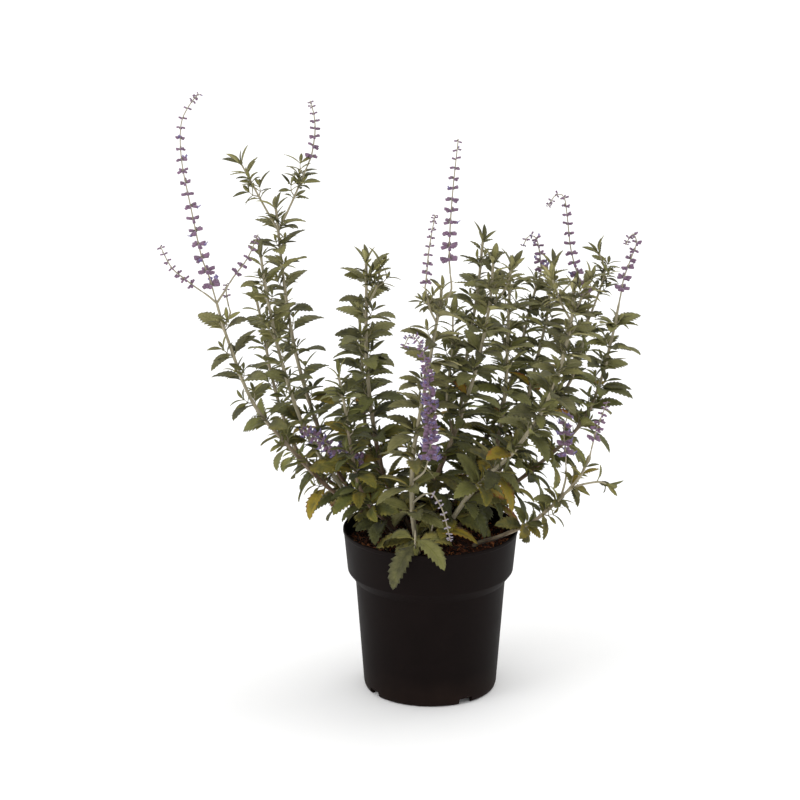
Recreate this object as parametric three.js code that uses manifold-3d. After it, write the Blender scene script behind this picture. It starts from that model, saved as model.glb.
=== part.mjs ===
// Potted Russian sage: a black nursery pot, its soil, square grey stems with toothed leaves,
// and whorled violet flower spikes. Sizes are millimetres, +Z is up and the front is at -Y.
import * as THREE from 'three';
import { mergeVertices } from 'three/addons/utils/BufferGeometryUtils.js';
import Module from 'manifold-3d';

const wasm = await Module();
wasm.setup();

// Sizes that drive the pot
const SEGMENTS = 24;
const POT_HEIGHT = 182;
const RIM_RADIUS = 95;
const COLLAR_RADIUS = 90;
const COLLAR_FOOT = 135;
const BODY_TOP = 126;
const BODY_RADIUS = 81.5;
const BASE_RADIUS = 72.6;
const WALL = 1.6;
const PAD_RADIUS = 42.5;
const FLOOR_THICKNESS = 1.8;
const FLOOR_UNDERSIDE = 8.4;
const NOTCH_WIDTH = 16;
const NOTCH_HEIGHT = 7;
const NOTCH_RING = 70;
const NOTCH_TURNS = [32, 122, 212, 302];
const DRAIN_RADIUS = 4.5;
const DRAIN_RING = 56;
const DRAIN_TURNS = [77, 167, 257, 347];

// Sizes that drive the soil
const SOIL_LEVEL = 166;
const SOIL_RADIUS = 90.8;
const SOIL_GAP = 0.5;
const SOIL_RIPPLE = 1.3;
const HOLE_GAP = 0.4;
const FEET = [0, 34];

// Sizes that drive the leaves
const RIB_THICKNESS = 1.5;
const LEAF_BASE = 3.2;
const LEAF_FOLD = 0.28;
const LONGEST_STRETCH = 36;
const LARGE_LEAF = 52;
const MEDIUM_LEAF = 37;
const LEAF_CLEARANCE = 4.4;
const OWN_CLEARANCE = 2.8;

// Half outlines of a blade, as [part of the length, part of the half width], tooth by tooth
const BLADES = {
  large: { edge: [[0.28, 0.86], [0.38, 0.6], [0.56, 1], [0.66, 0.62], [0.8, 0.66]], rib: [0.32, 0.68] },
  medium: { edge: [[0.34, 1], [0.5, 0.6], [0.7, 0.84]], rib: [0.5] },
  small: { edge: [[0.42, 1]], rib: [0.42] },
};

const POT_BLACK = { color: 0x1c1817, roughness: 0.62, metalness: 0 };
const SOIL_BROWN = { color: 0x3b1f14, roughness: 0.95, metalness: 0 };
const SAGE_GREEN = { color: 0x6f7752, roughness: 0.8, metalness: 0 };
const FLOWER_VIOLET = { color: 0x6b4f86, roughness: 0.75, metalness: 0 };

// Leafy stems. Routes run from the buried end up to the tip, girth is the width at both ends,
// and the leaves' spacing, length and rise in degrees run from the lowest pair to the highest.
const USUAL_SIDE = { girth: [2.3, 1.5], spacing: [15, 12], rise: [25, 45], twist: 20, feet: [0] };
const USUAL_STEM = { girth: [4.6, 2.2], spacing: [28, 22], length: [52, 32], rise: [0, 42], twist: 45 };
const STEMS = [
  {
    name: 'stem_left_arch', girth: [4.6, 2.4], first: 46, spacing: [35, 31], length: [46, 34], rise: [0, 35],
    route: [[-42, 18, 148], [-47, 20, 170], [-74, 10, 196], [-114, 0, 230], [-159, -12, 285], [-191, -25, 333],
      [-216, -40, 409], [-226, -48, 450]],
    side: [
      { route: [[-225, -47, 447], [-234, -52, 456], [-242, -56, 463]] },
      { route: [[-225, -47, 446], [-217, -41, 458], [-211, -37, 467]] },
      { route: [[-219, -43, 420], [-212, -32, 430], [-214, -30, 440]] },
    ],
  },
  {
    name: 'stem_left_tall', girth: [4.8, 2.2], first: 60, spacing: [28, 24], length: [52, 34], rise: [-5, 45],
    route: [[-35, 40, 148], [-40, 45, 168], [-79, 48, 198], [-107, 54, 238], [-132, 58, 306], [-148, 58, 370],
      [-158, 55, 439], [-164, 50, 505], [-166, 50, 526]],
    side: [
      { route: [[-164, 50, 500], [-152, 46, 525], [-143, 42, 546], [-131, 39, 575]], first: 42, length: [15, 14] },
      { route: [[-163, 50, 500], [-181, 54, 531], [-194, 56, 556], [-203, 56, 573]], first: 40, length: [20, 13] },
    ],
  },
  {
    name: 'stem_left_pale', girth: [4.4, 2.2], first: 62, length: [48, 28], rise: [0, 50],
    route: [[-38, 28, 148], [-42, 29, 168], [-77, 22, 195], [-122, 14, 262], [-143, 6, 310], [-162, 0, 378],
      [-175, -8, 450], [-180, -12, 489]],
  },
  {
    name: 'stem_left_back', girth: [4.4, 2.2], first: 70, length: [48, 28],
    route: [[-31, 52, 148], [-35, 58, 168], [-94, 64, 200], [-141, 84, 234], [-160, 98, 270], [-175, 110, 320],
      [-185, 118, 375], [-191, 120, 404]],
  },
  {
    name: 'stem_middle', girth: [4.8, 2.4], first: 60, spacing: [26, 21], length: [54, 36], rise: [0, 40],
    route: [[-20, 32, 148], [-23, 35, 168], [-49, 32, 225], [-62, 24, 291], [-69, 16, 367], [-69, 10, 435],
      [-69, 6, 478]],
    side: [
      { route: [[-69, 11, 425], [-58, 4, 450], [-54, 0, 474]], first: 26, length: [20, 14] },
      { route: [[-50, 31, 228], [-58, 17, 242], [-67, 11, 250]] },
    ],
  },
  {
    name: 'stem_middle_back', first: 70, spacing: [28, 24], length: [50, 32], rise: [0, 40],
    route: [[-16, 56, 148], [-18, 60, 168], [-55, 75, 222], [-71, 85, 268], [-75, 92, 343], [-78, 95, 400]],
  },
  {
    name: 'stem_left_short', girth: [4.2, 2], first: 56, spacing: [27, 21], length: [46, 26], rise: [-5, 45],
    route: [[-26, 0, 148], [-29, -1, 168], [-70, -25, 221], [-83, -40, 271], [-91, -50, 330], [-98, -52, 369]],
  },
  {
    name: 'stem_front', girth: [4.8, 2.4], first: 36, spacing: [30, 26], length: [48, 34], rise: [-5, 40],
    route: [[-13, -36, 148], [-14, -42, 168], [-20, -48, 217], [-19, -55, 282], [-8, -60, 350], [1, -62, 405],
      [9, -62, 452], [10, -62, 466]],
    side: [
      {
        route: [[-14, -43, 174], [-17, -62, 180], [-17, -79, 187], [-17, -83, 207]], first: 43, spacing: [5, 5],
        length: [58, 58], rise: [8, 8], bend: 1.5, twist: 58,
      },
      {
        route: [[-14, -43, 178], [-2, -54, 188], [2, -60, 206]], first: 27, length: [54, 54], rise: [10, 10],
        bend: 1.1, twist: -40,
      },
      { route: [[8, -62, 448], [20, -65, 464], [19, -62, 484]] },
      { route: [[-19, -52, 252], [-8, -66, 266], [-4, -74, 280]] },
      { route: [[-20, -49, 226], [-8, -62, 240], [-2, -72, 244]] },
      { route: [[6, -62, 430], [-2, -68, 446], [-6, -74, 466]], first: 22, length: [16, 14] },
    ],
  },
  {
    name: 'stem_centre', first: 60, length: [50, 32],
    route: [[-4, 5, 148], [-4, 4, 168], [4, 0, 231], [27, -10, 296], [48, -20, 367], [61, -25, 436], [65, -28, 486]],
    side: [
      { route: [[24, -8, 288], [17, -14, 331], [22, -18, 387], [23, -20, 426]], first: 36, length: [30, 18] },
      { route: [[61, -25, 437], [76, -22, 452], [85, -20, 477]], first: 24, length: [18, 14] },
    ],
  },
  {
    name: 'stem_centre_right', first: 60,
    route: [[10, 27, 148], [11, 30, 168], [60, 40, 222], [76, 50, 276], [82, 55, 327], [84, 58, 387], [86, 58, 455]],
  },
  {
    name: 'stem_right_back', first: 66,
    route: [[20, 50, 148], [22, 55, 168], [77, 80, 220], [104, 95, 285], [117, 102, 338], [128, 108, 388],
      [134, 112, 446]],
  },
  {
    name: 'stem_right_front', girth: [4.8, 2.4], first: 60, spacing: [31, 24], length: [52, 34], rise: [0, 40],
    route: [[7, -14, 148], [9, -16, 170], [43, -45, 236], [88, -65, 290], [118, -80, 343], [133, -90, 386],
      [144, -98, 441], [146, -100, 475]],
    side: [
      { route: [[144, -98, 441], [132, -92, 462], [124, -90, 485]], first: 22, length: [22, 14] },
      { route: [[145, -98, 446], [155, -104, 470], [162, -108, 490]], first: 22, length: [22, 14] },
    ],
  },
  {
    name: 'stem_right_arch', first: 66, spacing: [28, 23], length: [52, 34], rise: [0, 40],
    route: [[25, 27, 148], [28, 30, 168], [76, 40, 205], [115, 45, 235], [159, 50, 276], [181, 52, 318],
      [196, 52, 378], [204, 50, 424]],
  },
  {
    name: 'stem_right_low', first: 84, spacing: [28, 23], length: [42, 22], rise: [-30, 20],
    route: [[44, -18, 150], [48, -20, 168], [74, -35, 183], [110, -50, 206], [136, -58, 233], [156, -64, 258],
      [163, -68, 274]],
    side: [
      { route: [[160, -66, 266], [166, -71, 281], [169, -74, 296]] },
      { route: [[138, -59, 236], [143, -57, 256], [143, -55, 272]] },
      { route: [[142, -60, 241], [154, -70, 252], [176, -80, 260], [186, -84, 258]], first: 40, length: [10, 10] },
    ],
  },
  {
    name: 'stem_far_right', first: 84, spacing: [28, 24], length: [52, 32], rise: [0, 40],
    route: [[14, 58, 148], [16, 64, 168], [38, 84, 196], [60, 102, 214], [112, 130, 250], [155, 145, 299],
      [174, 150, 361], [176, 150, 392]],
    side: [
      { route: [[175, 150, 370], [189, 156, 406], [194, 158, 428], [187, 158, 449]], first: 34, length: [18, 10] },
    ],
  },
  {
    name: 'stem_back', first: 64,
    route: [[-4, 54, 148], [-5, 60, 168], [11, 75, 222], [31, 85, 277], [41, 90, 355], [51, 92, 417], [57, 92, 479]],
  },
  {
    name: 'stem_back_right', first: 78, spacing: [28, 24], length: [50, 30],
    route: [[3, 70, 148], [4, 76, 168], [45, 108, 214], [78, 126, 276], [99, 136, 337], [112, 140, 393],
      [121, 140, 424]],
  },
];

// Flower spikes. Each goes on from the end of a stem or side shoot: `from` names the stem and
// the side shoot's number, `reach` is the whorls' radius at both ends and `gaps` their spacing.
const SPIKES = [
  {
    name: 'spike_left_arch', from: ['stem_left_arch'], arms: 3, reach: [8, 3], gaps: [17, 9],
    route: [[-233, -51, 478], [-240, -55, 500], [-250, -60, 555], [-258, -62, 603], [-258, -60, 640],
      [-249, -55, 660], [-240, -50, 670]],
  },
  {
    name: 'spike_left_arch_left', from: ['stem_left_arch', 0], arms: 3, reach: [5, 3], gaps: [11, 8],
    route: [[-255, -62, 475], [-270, -70, 491], [-281, -75, 515]],
  },
  {
    name: 'spike_left_arch_right', from: ['stem_left_arch', 1], arms: 3, reach: [5.5, 3], gaps: [11, 8],
    route: [[-205, -33, 475], [-193, -25, 490], [-182, -20, 514]],
  },
  {
    name: 'spike_left_arch_inner', from: ['stem_left_arch', 2], arms: 3, reach: [4, 2.5], gaps: [9, 7],
    route: [[-216, -28, 450], [-216, -27, 462]],
  },
  {
    name: 'spike_left_tall', from: ['stem_left_tall', 0], arms: 3, reach: [6, 3], gaps: [11, 7],
    route: [[-126, 38, 590], [-123, 37, 612], [-124, 36, 630], [-128, 36, 645]],
  },
  {
    name: 'spike_low_left', from: ['stem_middle', 1], arms: 3, reach: [8, 5], gaps: [11, 9],
    route: [[-87, 2, 263], [-114, -8, 280], [-140, -12, 298]],
  },
  {
    name: 'spike_front_tall', from: ['stem_front', 2], arms: 3, reach: [8, 3], gaps: [14, 9],
    route: [[18, -62, 500], [19, -60, 534], [22, -58, 576], [27, -55, 624]],
  },
  {
    name: 'spike_front_left', from: ['stem_front', 5], arms: 3, reach: [5, 3], gaps: [11, 8],
    route: [[-6, -76, 480], [-3, -80, 514], [3, -82, 550]],
  },
  {
    name: 'spike_front_dense', from: ['stem_front', 3], arms: 3, reach: [10, 4], gaps: [9, 8],
    route: [[-1, -80, 305], [-2, -86, 352], [-6, -90, 392], [-12, -92, 414], [-22, -92, 424], [-29, -92, 412]],
  },
  {
    name: 'spike_front_drooping', from: ['stem_front', 4], arms: 3, reach: [3.5, 2.5], gaps: [8, 7],
    route: [[5, -81, 242], [12, -86, 230], [17, -88, 212], [20, -89, 198]],
  },
  {
    name: 'spike_right_arch', from: ['stem_right_arch'], arms: 3, reach: [7.5, 3], gaps: [13, 8],
    route: [[208, 48, 449], [215, 44, 472], [220, 40, 490], [215, 38, 500], [208, 36, 488]],
  },
  {
    name: 'spike_right_low', from: ['stem_right_low', 0], arms: 3, reach: [7, 3], gaps: [11, 7],
    route: [[172, -76, 312], [176, -78, 325], [184, -82, 349]],
  },
  {
    name: 'spike_right_low_inner', from: ['stem_right_low', 1], arms: 3, reach: [8, 4], gaps: [11, 9],
    route: [[142, -53, 290], [141, -50, 310], [149, -45, 337]],
  },
  {
    name: 'spike_far_right', from: ['stem_far_right'], arms: 3, reach: [7.5, 3], gaps: [13, 9],
    route: [[166, 150, 419], [156, 150, 453], [151, 150, 493], [147, 149, 514], [138, 148, 516], [130, 147, 504]],
  },
  {
    name: 'spike_back_right', from: ['stem_back_right'], arms: 3, reach: [7, 2.5], gaps: [10, 7],
    route: [[122, 139, 442], [120, 138, 458], [116, 136, 471], [108, 134, 473], [102, 132, 462]],
  },
];

// Seeded draws, so that the plant comes out the same each time
const SEED = 20261;
let drawState = SEED;

function draw(low, high) {
  drawState = (Math.imul(drawState, 1664525) + 1013904223) >>> 0;
  return low + (high - low) * (drawState / 4294967296);
}

const vector = ([x, y, z]) => new THREE.Vector3(x, y, z);
const mix = (start, end, part) => start + (end - start) * part;
const radians = THREE.MathUtils.degToRad;

// A route is a smooth curve through its points, read by the distance along it
const ROUTE_STEPS = 160;
const ACROSS = new THREE.Vector3(0, 1, 0);

function makeRoute(points, twist = 0) {
  const curve = new THREE.CatmullRomCurve3(points.map(vector), false, 'catmullrom', 0.5);
  const places = curve.getPoints(ROUTE_STEPS);
  const distances = [0];
  for (let i = 1; i < places.length; i += 1) {
    distances.push(distances[i - 1] + places[i].distanceTo(places[i - 1]));
  }
  return { places, distances, length: distances[ROUTE_STEPS], twist: radians(twist) };
}

function frameAt({ places, distances, twist }, distance) {
  let i = 1;
  while (i < ROUTE_STEPS && distances[i] < distance) i += 1;
  const part = (distance - distances[i - 1]) / (distances[i] - distances[i - 1]);
  const origin = places[i - 1].clone().lerp(places[i], part);
  const before = places[Math.max(i - 2, 0)];
  const after = places[Math.min(i + 1, ROUTE_STEPS)];
  const along = after.clone().sub(before).normalize();
  const level = ACROSS.clone().cross(along).normalize();
  const side = level.clone().applyAxisAngle(along, twist);
  const front = along.clone().cross(side);
  return { origin, along, side, front };
}

function nearestPlace(route, point) {
  return route.places.reduce((best, place) => {
    return place.distanceTo(point) < best.distanceTo(point) ? place : best;
  });
}

// Closed solids from points and triangles, which are all turned over if they face inwards
function toManifold(points, triangles) {
  const volume = triangles.reduce((sum, [a, b, c]) => {
    return sum + points[a].dot(points[b].clone().cross(points[c]));
  }, 0);
  const turned = volume < 0 ? triangles.map(([a, b, c]) => [a, c, b]) : triangles;
  return new wasm.Manifold(new wasm.Mesh({
    numProp: 3,
    vertProperties: new Float32Array(points.flatMap((p) => [p.x, p.y, p.z])),
    triVerts: new Uint32Array(turned.flat()),
  }));
}

function geometryToManifold(geometry) {
  geometry.deleteAttribute('normal');
  geometry.deleteAttribute('uv');
  const merged = mergeVertices(geometry, 1e-4);
  const places = merged.getAttribute('position');
  const pointAt = (_, i) => new THREE.Vector3().fromBufferAttribute(places, i);
  const points = Array.from({ length: places.count }, pointAt);
  const corners = merged.getIndex().array;
  const triangles = [];
  for (let i = 0; i < corners.length; i += 3) {
    const [a, b, c] = [corners[i], corners[i + 1], corners[i + 2]];
    if (a !== b && b !== c && c !== a) triangles.push([a, b, c]);
  }
  return toManifold(points, triangles);
}

function toGeometry(solid) {
  const mesh = solid.getMesh();
  const geometry = new THREE.BufferGeometry();
  geometry.setAttribute('position', new THREE.BufferAttribute(mesh.vertProperties, 3));
  geometry.setIndex(new THREE.BufferAttribute(mesh.triVerts, 1));
  geometry.computeVertexNormals();
  return geometry;
}

// Rings of equal point counts are joined into a skin, closed by a fan at each end
function skinRings(rings) {
  const count = rings[0].length;
  const points = rings.flat();
  const triangles = [];
  for (let r = 0; r + 1 < rings.length; r += 1) {
    for (let i = 0; i < count; i += 1) {
      const [a, b] = [r * count + i, r * count + ((i + 1) % count)];
      const [c, d] = [a + count, b + count];
      triangles.push([a, b, d], [a, d, c]);
    }
  }
  for (let i = 1; i + 1 < count; i += 1) {
    const last = (rings.length - 1) * count;
    triangles.push([0, i + 1, i], [last, last + i, last + i + 1]);
  }
  return toManifold(points, triangles);
}

// Square shoots: rings of four corners, where corner f lies between faces f and f + 1
function squareRing(frame, halfWidth) {
  const corners = [[1, 1], [-1, 1], [-1, -1], [1, -1]];
  return corners.map(([across, forward]) => frame.origin.clone()
    .addScaledVector(frame.side, across * halfWidth)
    .addScaledVector(frame.front, forward * halfWidth));
}

function halfWidthAt(shoot, distance) {
  return mix(shoot.girth[0], shoot.girth[1], distance / shoot.route.length) / 2;
}

function shootRing(shoot, distance, extra) {
  return squareRing(frameAt(shoot.route, distance), halfWidthAt(shoot, distance) + extra);
}

// A ring below and above each leaf pair, and more where a stretch would be long
function stationsOf(shoot, pairs) {
  const marks = shoot.feet.map((distance) => ({ distance }));
  for (const { distance, leaves } of pairs) {
    marks.push({ distance: distance - LEAF_BASE / 2, leaves }, { distance: distance + LEAF_BASE / 2 });
  }
  marks.push({ distance: shoot.route.length });
  return marks.flatMap((mark, i) => {
    const gap = i + 1 < marks.length ? marks[i + 1].distance - mark.distance : 0;
    const extra = Math.floor(gap / LONGEST_STRETCH);
    const step = gap / (extra + 1);
    const between = Array.from({ length: extra }, (_, k) => ({ distance: mark.distance + step * (k + 1) }));
    return [mark, ...between];
  });
}

function shootSolid(shoot, pairs) {
  const stations = stationsOf(shoot, pairs);
  const points = stations.flatMap(({ distance }) => shootRing(shoot, distance, 0));
  const triangles = [[0, 2, 1], [0, 3, 2]];
  const top = points.length - 4;
  triangles.push([top, top + 1, top + 2], [top, top + 2, top + 3]);
  for (let r = 0; r + 1 < stations.length; r += 1) {
    for (const face of [0, 1, 2, 3]) {
      const [minus, plus] = [r * 4 + ((face + 3) % 4), r * 4 + face];
      const corners = { lowMinus: minus, lowPlus: plus, highMinus: minus + 4, highPlus: plus + 4 };
      const leaf = stations[r].leaves?.[face];
      if (leaf) addLeaf(leaf, corners, points, triangles);
      else triangles.push([minus, plus, plus + 4], [minus, plus + 4, minus + 4]);
    }
  }
  return toManifold(points, triangles);
}

// The hole that a stem stands in follows its buried stretches, a little wider
function stemHole(shoot) {
  const rings = shoot.feet.map((distance) => shootRing(shoot, distance, HOLE_GAP));
  const foot = frameAt(shoot.route, 0);
  rings.unshift(rings[0].map((point) => point.clone().addScaledVector(foot.along, -HOLE_GAP)));
  return skinRings(rings);
}

// Leaf blades: a bent midrib, margins raised by a shallow fold, and a lens-shaped section
function leafPoint(leaf, part, across, lift) {
  const angle = leaf.bend * part;
  const forward = (leaf.length * Math.sin(angle)) / leaf.bend;
  const drop = (leaf.length * (1 - Math.cos(angle))) / leaf.bend;
  const rise = Math.abs(across) * Math.sin(leaf.fold) + lift;
  return leaf.base.clone()
    .addScaledVector(leaf.out, forward + rise * Math.sin(angle))
    .addScaledVector(leaf.up, rise * Math.cos(angle) - drop)
    .addScaledVector(leaf.side, across * Math.cos(leaf.fold));
}

function bladeOf(leaf) {
  if (leaf.length > LARGE_LEAF) return BLADES.large;
  return leaf.length > MEDIUM_LEAF ? BLADES.medium : BLADES.small;
}

// A leaf takes the place of one face of its shoot, whose corners are its foot
function addLeaf(leaf, { lowMinus, lowPlus, highMinus, highPlus }, points, triangles) {
  const blade = bladeOf(leaf);
  const addPoint = (part, across, lift) => {
    points.push(leafPoint(leaf, part, across, lift));
    return { id: points.length - 1, part };
  };
  const tip = addPoint(1, 0, 0);
  const ribLine = (facing) => {
    const lift = (part) => (facing * RIB_THICKNESS * (1.1 - part * 0.4)) / 2;
    return [...blade.rib.map((part) => addPoint(part, 0, lift(part))), tip];
  };
  const margin = (hand) => {
    const line = blade.edge.map(([part, width]) => addPoint(part, hand * width * leaf.halfWidth, 0));
    return [...line, tip];
  };
  const [upper, lower, plus, minus] = [ribLine(1), ribLine(-1), margin(1), margin(-1)];
  const footed = (id, line) => [{ id, part: 0 }, ...line];
  stitch(footed(highPlus, plus), upper, -1, triangles);
  stitch(footed(lowPlus, plus), lower, 1, triangles);
  stitch(footed(highMinus, minus), upper, 1, triangles);
  stitch(footed(lowMinus, minus), lower, -1, triangles);
  triangles.push([lowMinus, lowPlus, lower[0].id], [highPlus, highMinus, upper[0].id]);
  triangles.push([lowPlus, highPlus, plus[0].id], [highMinus, lowMinus, minus[0].id]);
}

// Joins a margin to a rib, always stepping on along the line that lags behind
function stitch(edge, rib, hand, triangles) {
  let [i, j] = [0, 0];
  while (i + 1 < edge.length || j + 1 < rib.length) {
    const stepEdge = j + 1 === rib.length || (i + 1 < edge.length && edge[i + 1].part <= rib[j + 1].part);
    const next = stepEdge ? edge[i + 1] : rib[j + 1];
    const corners = [edge[i].id, next.id, rib[j].id];
    if (new Set(corners).size === 3) triangles.push(hand > 0 ? corners : corners.reverse());
    if (stepEdge) i += 1;
    else j += 1;
  }
}

// Places already taken, kept in cells, so that a new leaf can stay clear of them
const CELL = 16;
const taken = new Map();

function cellOf(point, steps = [0, 0, 0]) {
  return [point.x, point.y, point.z].map((value, axis) => Math.floor(value / CELL) + steps[axis]).join();
}

function take(point, owner, radius) {
  const cell = cellOf(point);
  if (!taken.has(cell)) taken.set(cell, []);
  taken.get(cell).push({ point, owner, radius });
}

const NEIGHBOURS = [-1, 0, 1].flatMap((i) => [-1, 0, 1].flatMap((j) => [-1, 0, 1].map((k) => [i, j, k])));

function isFree(point, owner) {
  return NEIGHBOURS.every((steps) => (taken.get(cellOf(point, steps)) ?? []).every((other) => {
    const clearance = other.owner === owner ? OWN_CLEARANCE : LEAF_CLEARANCE;
    return point.distanceTo(other.point) > clearance + other.radius;
  }));
}

function clearsPot({ x, y, z }) {
  const radius = Math.hypot(x, y);
  if (radius > RIM_RADIUS + 3 || z > POT_HEIGHT + 2.5) return true;
  return radius < RIM_RADIUS - 6 && z > SOIL_LEVEL + 4;
}

function takeRoute(route, owner, radius) {
  for (let distance = 0; distance < route.length; distance += 5) {
    take(frameAt(route, distance).origin, owner, radius);
  }
}

// A leaf grows out of one face of its shoot, turned from it and rising by angles
function makeLeaf(shoot, distance, face, turn, rise, roll, length, bend) {
  const frame = frameAt(shoot.route, distance);
  const outwards = (angle) => frame.side.clone().multiplyScalar(Math.cos(angle))
    .addScaledVector(frame.front, Math.sin(angle));
  const square = (face * Math.PI) / 2;
  const outward = outwards(square + turn);
  const out = outward.clone().multiplyScalar(Math.cos(rise)).addScaledVector(frame.along, Math.sin(rise));
  const level = frame.along.clone().multiplyScalar(Math.cos(rise)).addScaledVector(outward, -Math.sin(rise));
  const across = level.clone().cross(out);
  return {
    base: frame.origin.clone().addScaledVector(outwards(square), halfWidthAt(shoot, distance)),
    out,
    up: level.clone().multiplyScalar(Math.cos(roll)).addScaledVector(across, Math.sin(roll)),
    side: across.clone().multiplyScalar(Math.cos(roll)).addScaledVector(level, -Math.sin(roll)),
    length,
    halfWidth: length * mix(0.15, 0.24, THREE.MathUtils.smoothstep(length, 12, 40)),
    bend,
    fold: LEAF_FOLD,
  };
}

function leafSamples(leaf) {
  const samples = [];
  for (const part of [0.3, 0.42, 0.54, 0.66, 0.78, 0.9, 1]) {
    const width = leaf.halfWidth * Math.sin(Math.PI * Math.min(0.94, part * 0.86 + 0.08));
    for (const hand of [-1, -0.5, 0, 0.5, 1]) samples.push(leafPoint(leaf, part, hand * width, 0));
  }
  return samples;
}

// Ways to bend a leaf clear of what is near: [turn, rise] in degrees, then a smaller leaf
const BENDS = [[0, 0], [16, 0], [-16, 0], [0, 18], [0, -18], [28, 14], [-28, 14], [28, -18], [-28, -18],
  [0, 36], [42, 26], [-42, 26], [0, -34]];
const SHRINKS = [1, 0.72];

function placeLeaf(shoot, distance, face, turn, rise, length, bend) {
  const roll = radians(draw(-16, 16));
  for (const shrink of SHRINKS) {
    for (const [turnBy, riseBy] of BENDS) {
      const [turned, risen] = [turn + radians(turnBy), rise + radians(riseBy)];
      const leaf = makeLeaf(shoot, distance, face, turned, risen, roll, length * shrink, bend);
      const samples = leafSamples(leaf);
      if (samples.every((point) => clearsPot(point) && isFree(point, shoot.owner))) {
        samples.forEach((point) => take(point, shoot.owner, 0));
        return leaf;
      }
    }
  }
  return null;
}

// The tuft's pairs: distance back from the tip, leaf length and rise in degrees
const TUFT = [[12, 20, 40], [3, 14, 60]];
const TUFT_ROOM = 24;
const BARE_END = 9;

// Opposite pairs, each at right angles to the pair below, and a tuft of narrow leaves on top
function growPairs(shoot) {
  const pairs = [];
  const { first, spacing, length, rise, route } = shoot;
  const growPair = (distance, size, lift, bend) => {
    const leaves = {};
    for (const face of pairs.length % 2 ? [1, 3] : [0, 2]) {
      const turn = radians(draw(-18, 18));
      const risen = radians(lift + draw(-10, 10));
      const sized = size * draw(0.84, 1.14);
      leaves[face] = placeLeaf(shoot, distance, face, turn, risen, sized, bend * draw(0.8, 1.2));
    }
    pairs.push({ distance, leaves });
  };
  let distance = first;
  while (distance < route.length - (shoot.tuft ? TUFT_ROOM : BARE_END)) {
    const part = distance / route.length;
    const bend = shoot.bend ?? mix(1, 0.6, part);
    growPair(distance, mix(length[0], length[1], part), mix(rise[0], rise[1], part), bend);
    distance += mix(spacing[0], spacing[1], part) * draw(0.9, 1.1);
  }
  for (const [back, size, lift] of shoot.tuft ? TUFT : []) growPair(route.length - back, size, lift, 0.45);
  return pairs;
}

function continues(from) {
  return SPIKES.some((spike) => spike.from.join() === from.join());
}

function makeShoots(stem) {
  const habit = { ...USUAL_STEM, ...stem };
  const route = makeRoute(stem.route, habit.twist);
  const main = { ...habit, route, owner: stem.name, feet: FEET, tuft: !continues([stem.name]) };
  const sides = (stem.side ?? []).map((side, number) => {
    const root = nearestPlace(route, vector(side.route[0]));
    const ways = { ...USUAL_SIDE, ...side };
    return {
      ...ways,
      route: makeRoute([root.toArray(), ...side.route.slice(1)], ways.twist),
      owner: stem.name,
      tuft: Boolean(side.length) && !side.bend && !continues([stem.name, number]),
    };
  });
  return [main, ...sides];
}

// A flower spike is one skin: at each whorl it swells into a star of blunt arms
const STALK_RADIUS = 0.85;
const START_GAP = 0.3;
const STRAIGHT_START = 6;
const CLOSE_WHORLS = 10;
const WHORL_HALF_HEIGHT = 2.8;

function makeSpike(spike, plants) {
  const [stemName, sideNumber] = spike.from;
  const carrier = plants.get(stemName)[sideNumber === undefined ? 0 : sideNumber + 1];
  const end = frameAt(carrier.route, carrier.route.length);
  const ahead = (distance) => end.origin.clone().addScaledVector(end.along, distance).toArray();
  const route = makeRoute([ahead(START_GAP), ahead(STRAIGHT_START), ...spike.route]);
  const whorls = [];
  let distance = spike.gaps[0];
  while (distance < route.length - 1) {
    const part = distance / route.length;
    const gap = mix(spike.gaps[0], spike.gaps[1], part);
    whorls.push({ distance, reach: mix(spike.reach[0], spike.reach[1], part), gap });
    distance += gap;
  }
  return { ...spike, route, whorls };
}

function starRing(frame, arms, reach, valley, phase) {
  return Array.from({ length: arms * 2 }, (_, i) => {
    const angle = (i * Math.PI) / arms + radians(22.5);
    const radius = (i + phase) % 2 === 0 ? reach : valley;
    return frame.origin.clone()
      .addScaledVector(frame.side, radius * Math.cos(angle))
      .addScaledVector(frame.front, radius * Math.sin(angle));
  });
}

// Close whorls share the waist between them; whorls set wide apart have a bare stretch
function spikeSolid(spike) {
  const { route, arms } = spike;
  const ringAt = (distance, arm, valley, phase) => {
    return starRing(frameAt(route, Math.min(distance, route.length - 0.5)), arms, arm, valley, phase);
  };
  const rings = [ringAt(0, STALK_RADIUS, STALK_RADIUS, 0)];
  spike.whorls.forEach(({ distance, reach, gap }, index) => {
    const close = gap < CLOSE_WHORLS;
    const half = close ? gap / 2 : WHORL_HALF_HEIGHT;
    if (!close) rings.push(ringAt(distance - half, STALK_RADIUS, STALK_RADIUS, index));
    rings.push(ringAt(distance, reach, reach * 0.42, index));
    rings.push(ringAt(distance + half, STALK_RADIUS, STALK_RADIUS, index));
  });
  rings.push(starRing(frameAt(route, route.length), arms, STALK_RADIUS * 0.6, STALK_RADIUS * 0.6, 0));
  return skinRings(rings);
}

// The pot: half its section, turned about the middle, then notches and drain holes cut out
const OUTSIDE = [
  [0, 0], [PAD_RADIUS, 0], [PAD_RADIUS + 2.5, FLOOR_UNDERSIDE], [67.6, FLOOR_UNDERSIDE], [67, 0], [69.2, 0],
  [71.4, 1.6], [BASE_RADIUS, 6], [BODY_RADIUS, BODY_TOP - 2],
  [COLLAR_RADIUS, COLLAR_FOOT], [94.1, 177.5], [RIM_RADIUS, 178.4], [RIM_RADIUS, POT_HEIGHT - 0.6],
];
const INSIDE = [
  [COLLAR_RADIUS - WALL, COLLAR_FOOT + 0.8], [BODY_RADIUS - WALL, BODY_TOP - 0.5],
  [71.1, FLOOR_UNDERSIDE + WALL], [PAD_RADIUS + 1.5, FLOOR_UNDERSIDE + WALL],
  [PAD_RADIUS - 1.1, FLOOR_THICKNESS],
];

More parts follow.
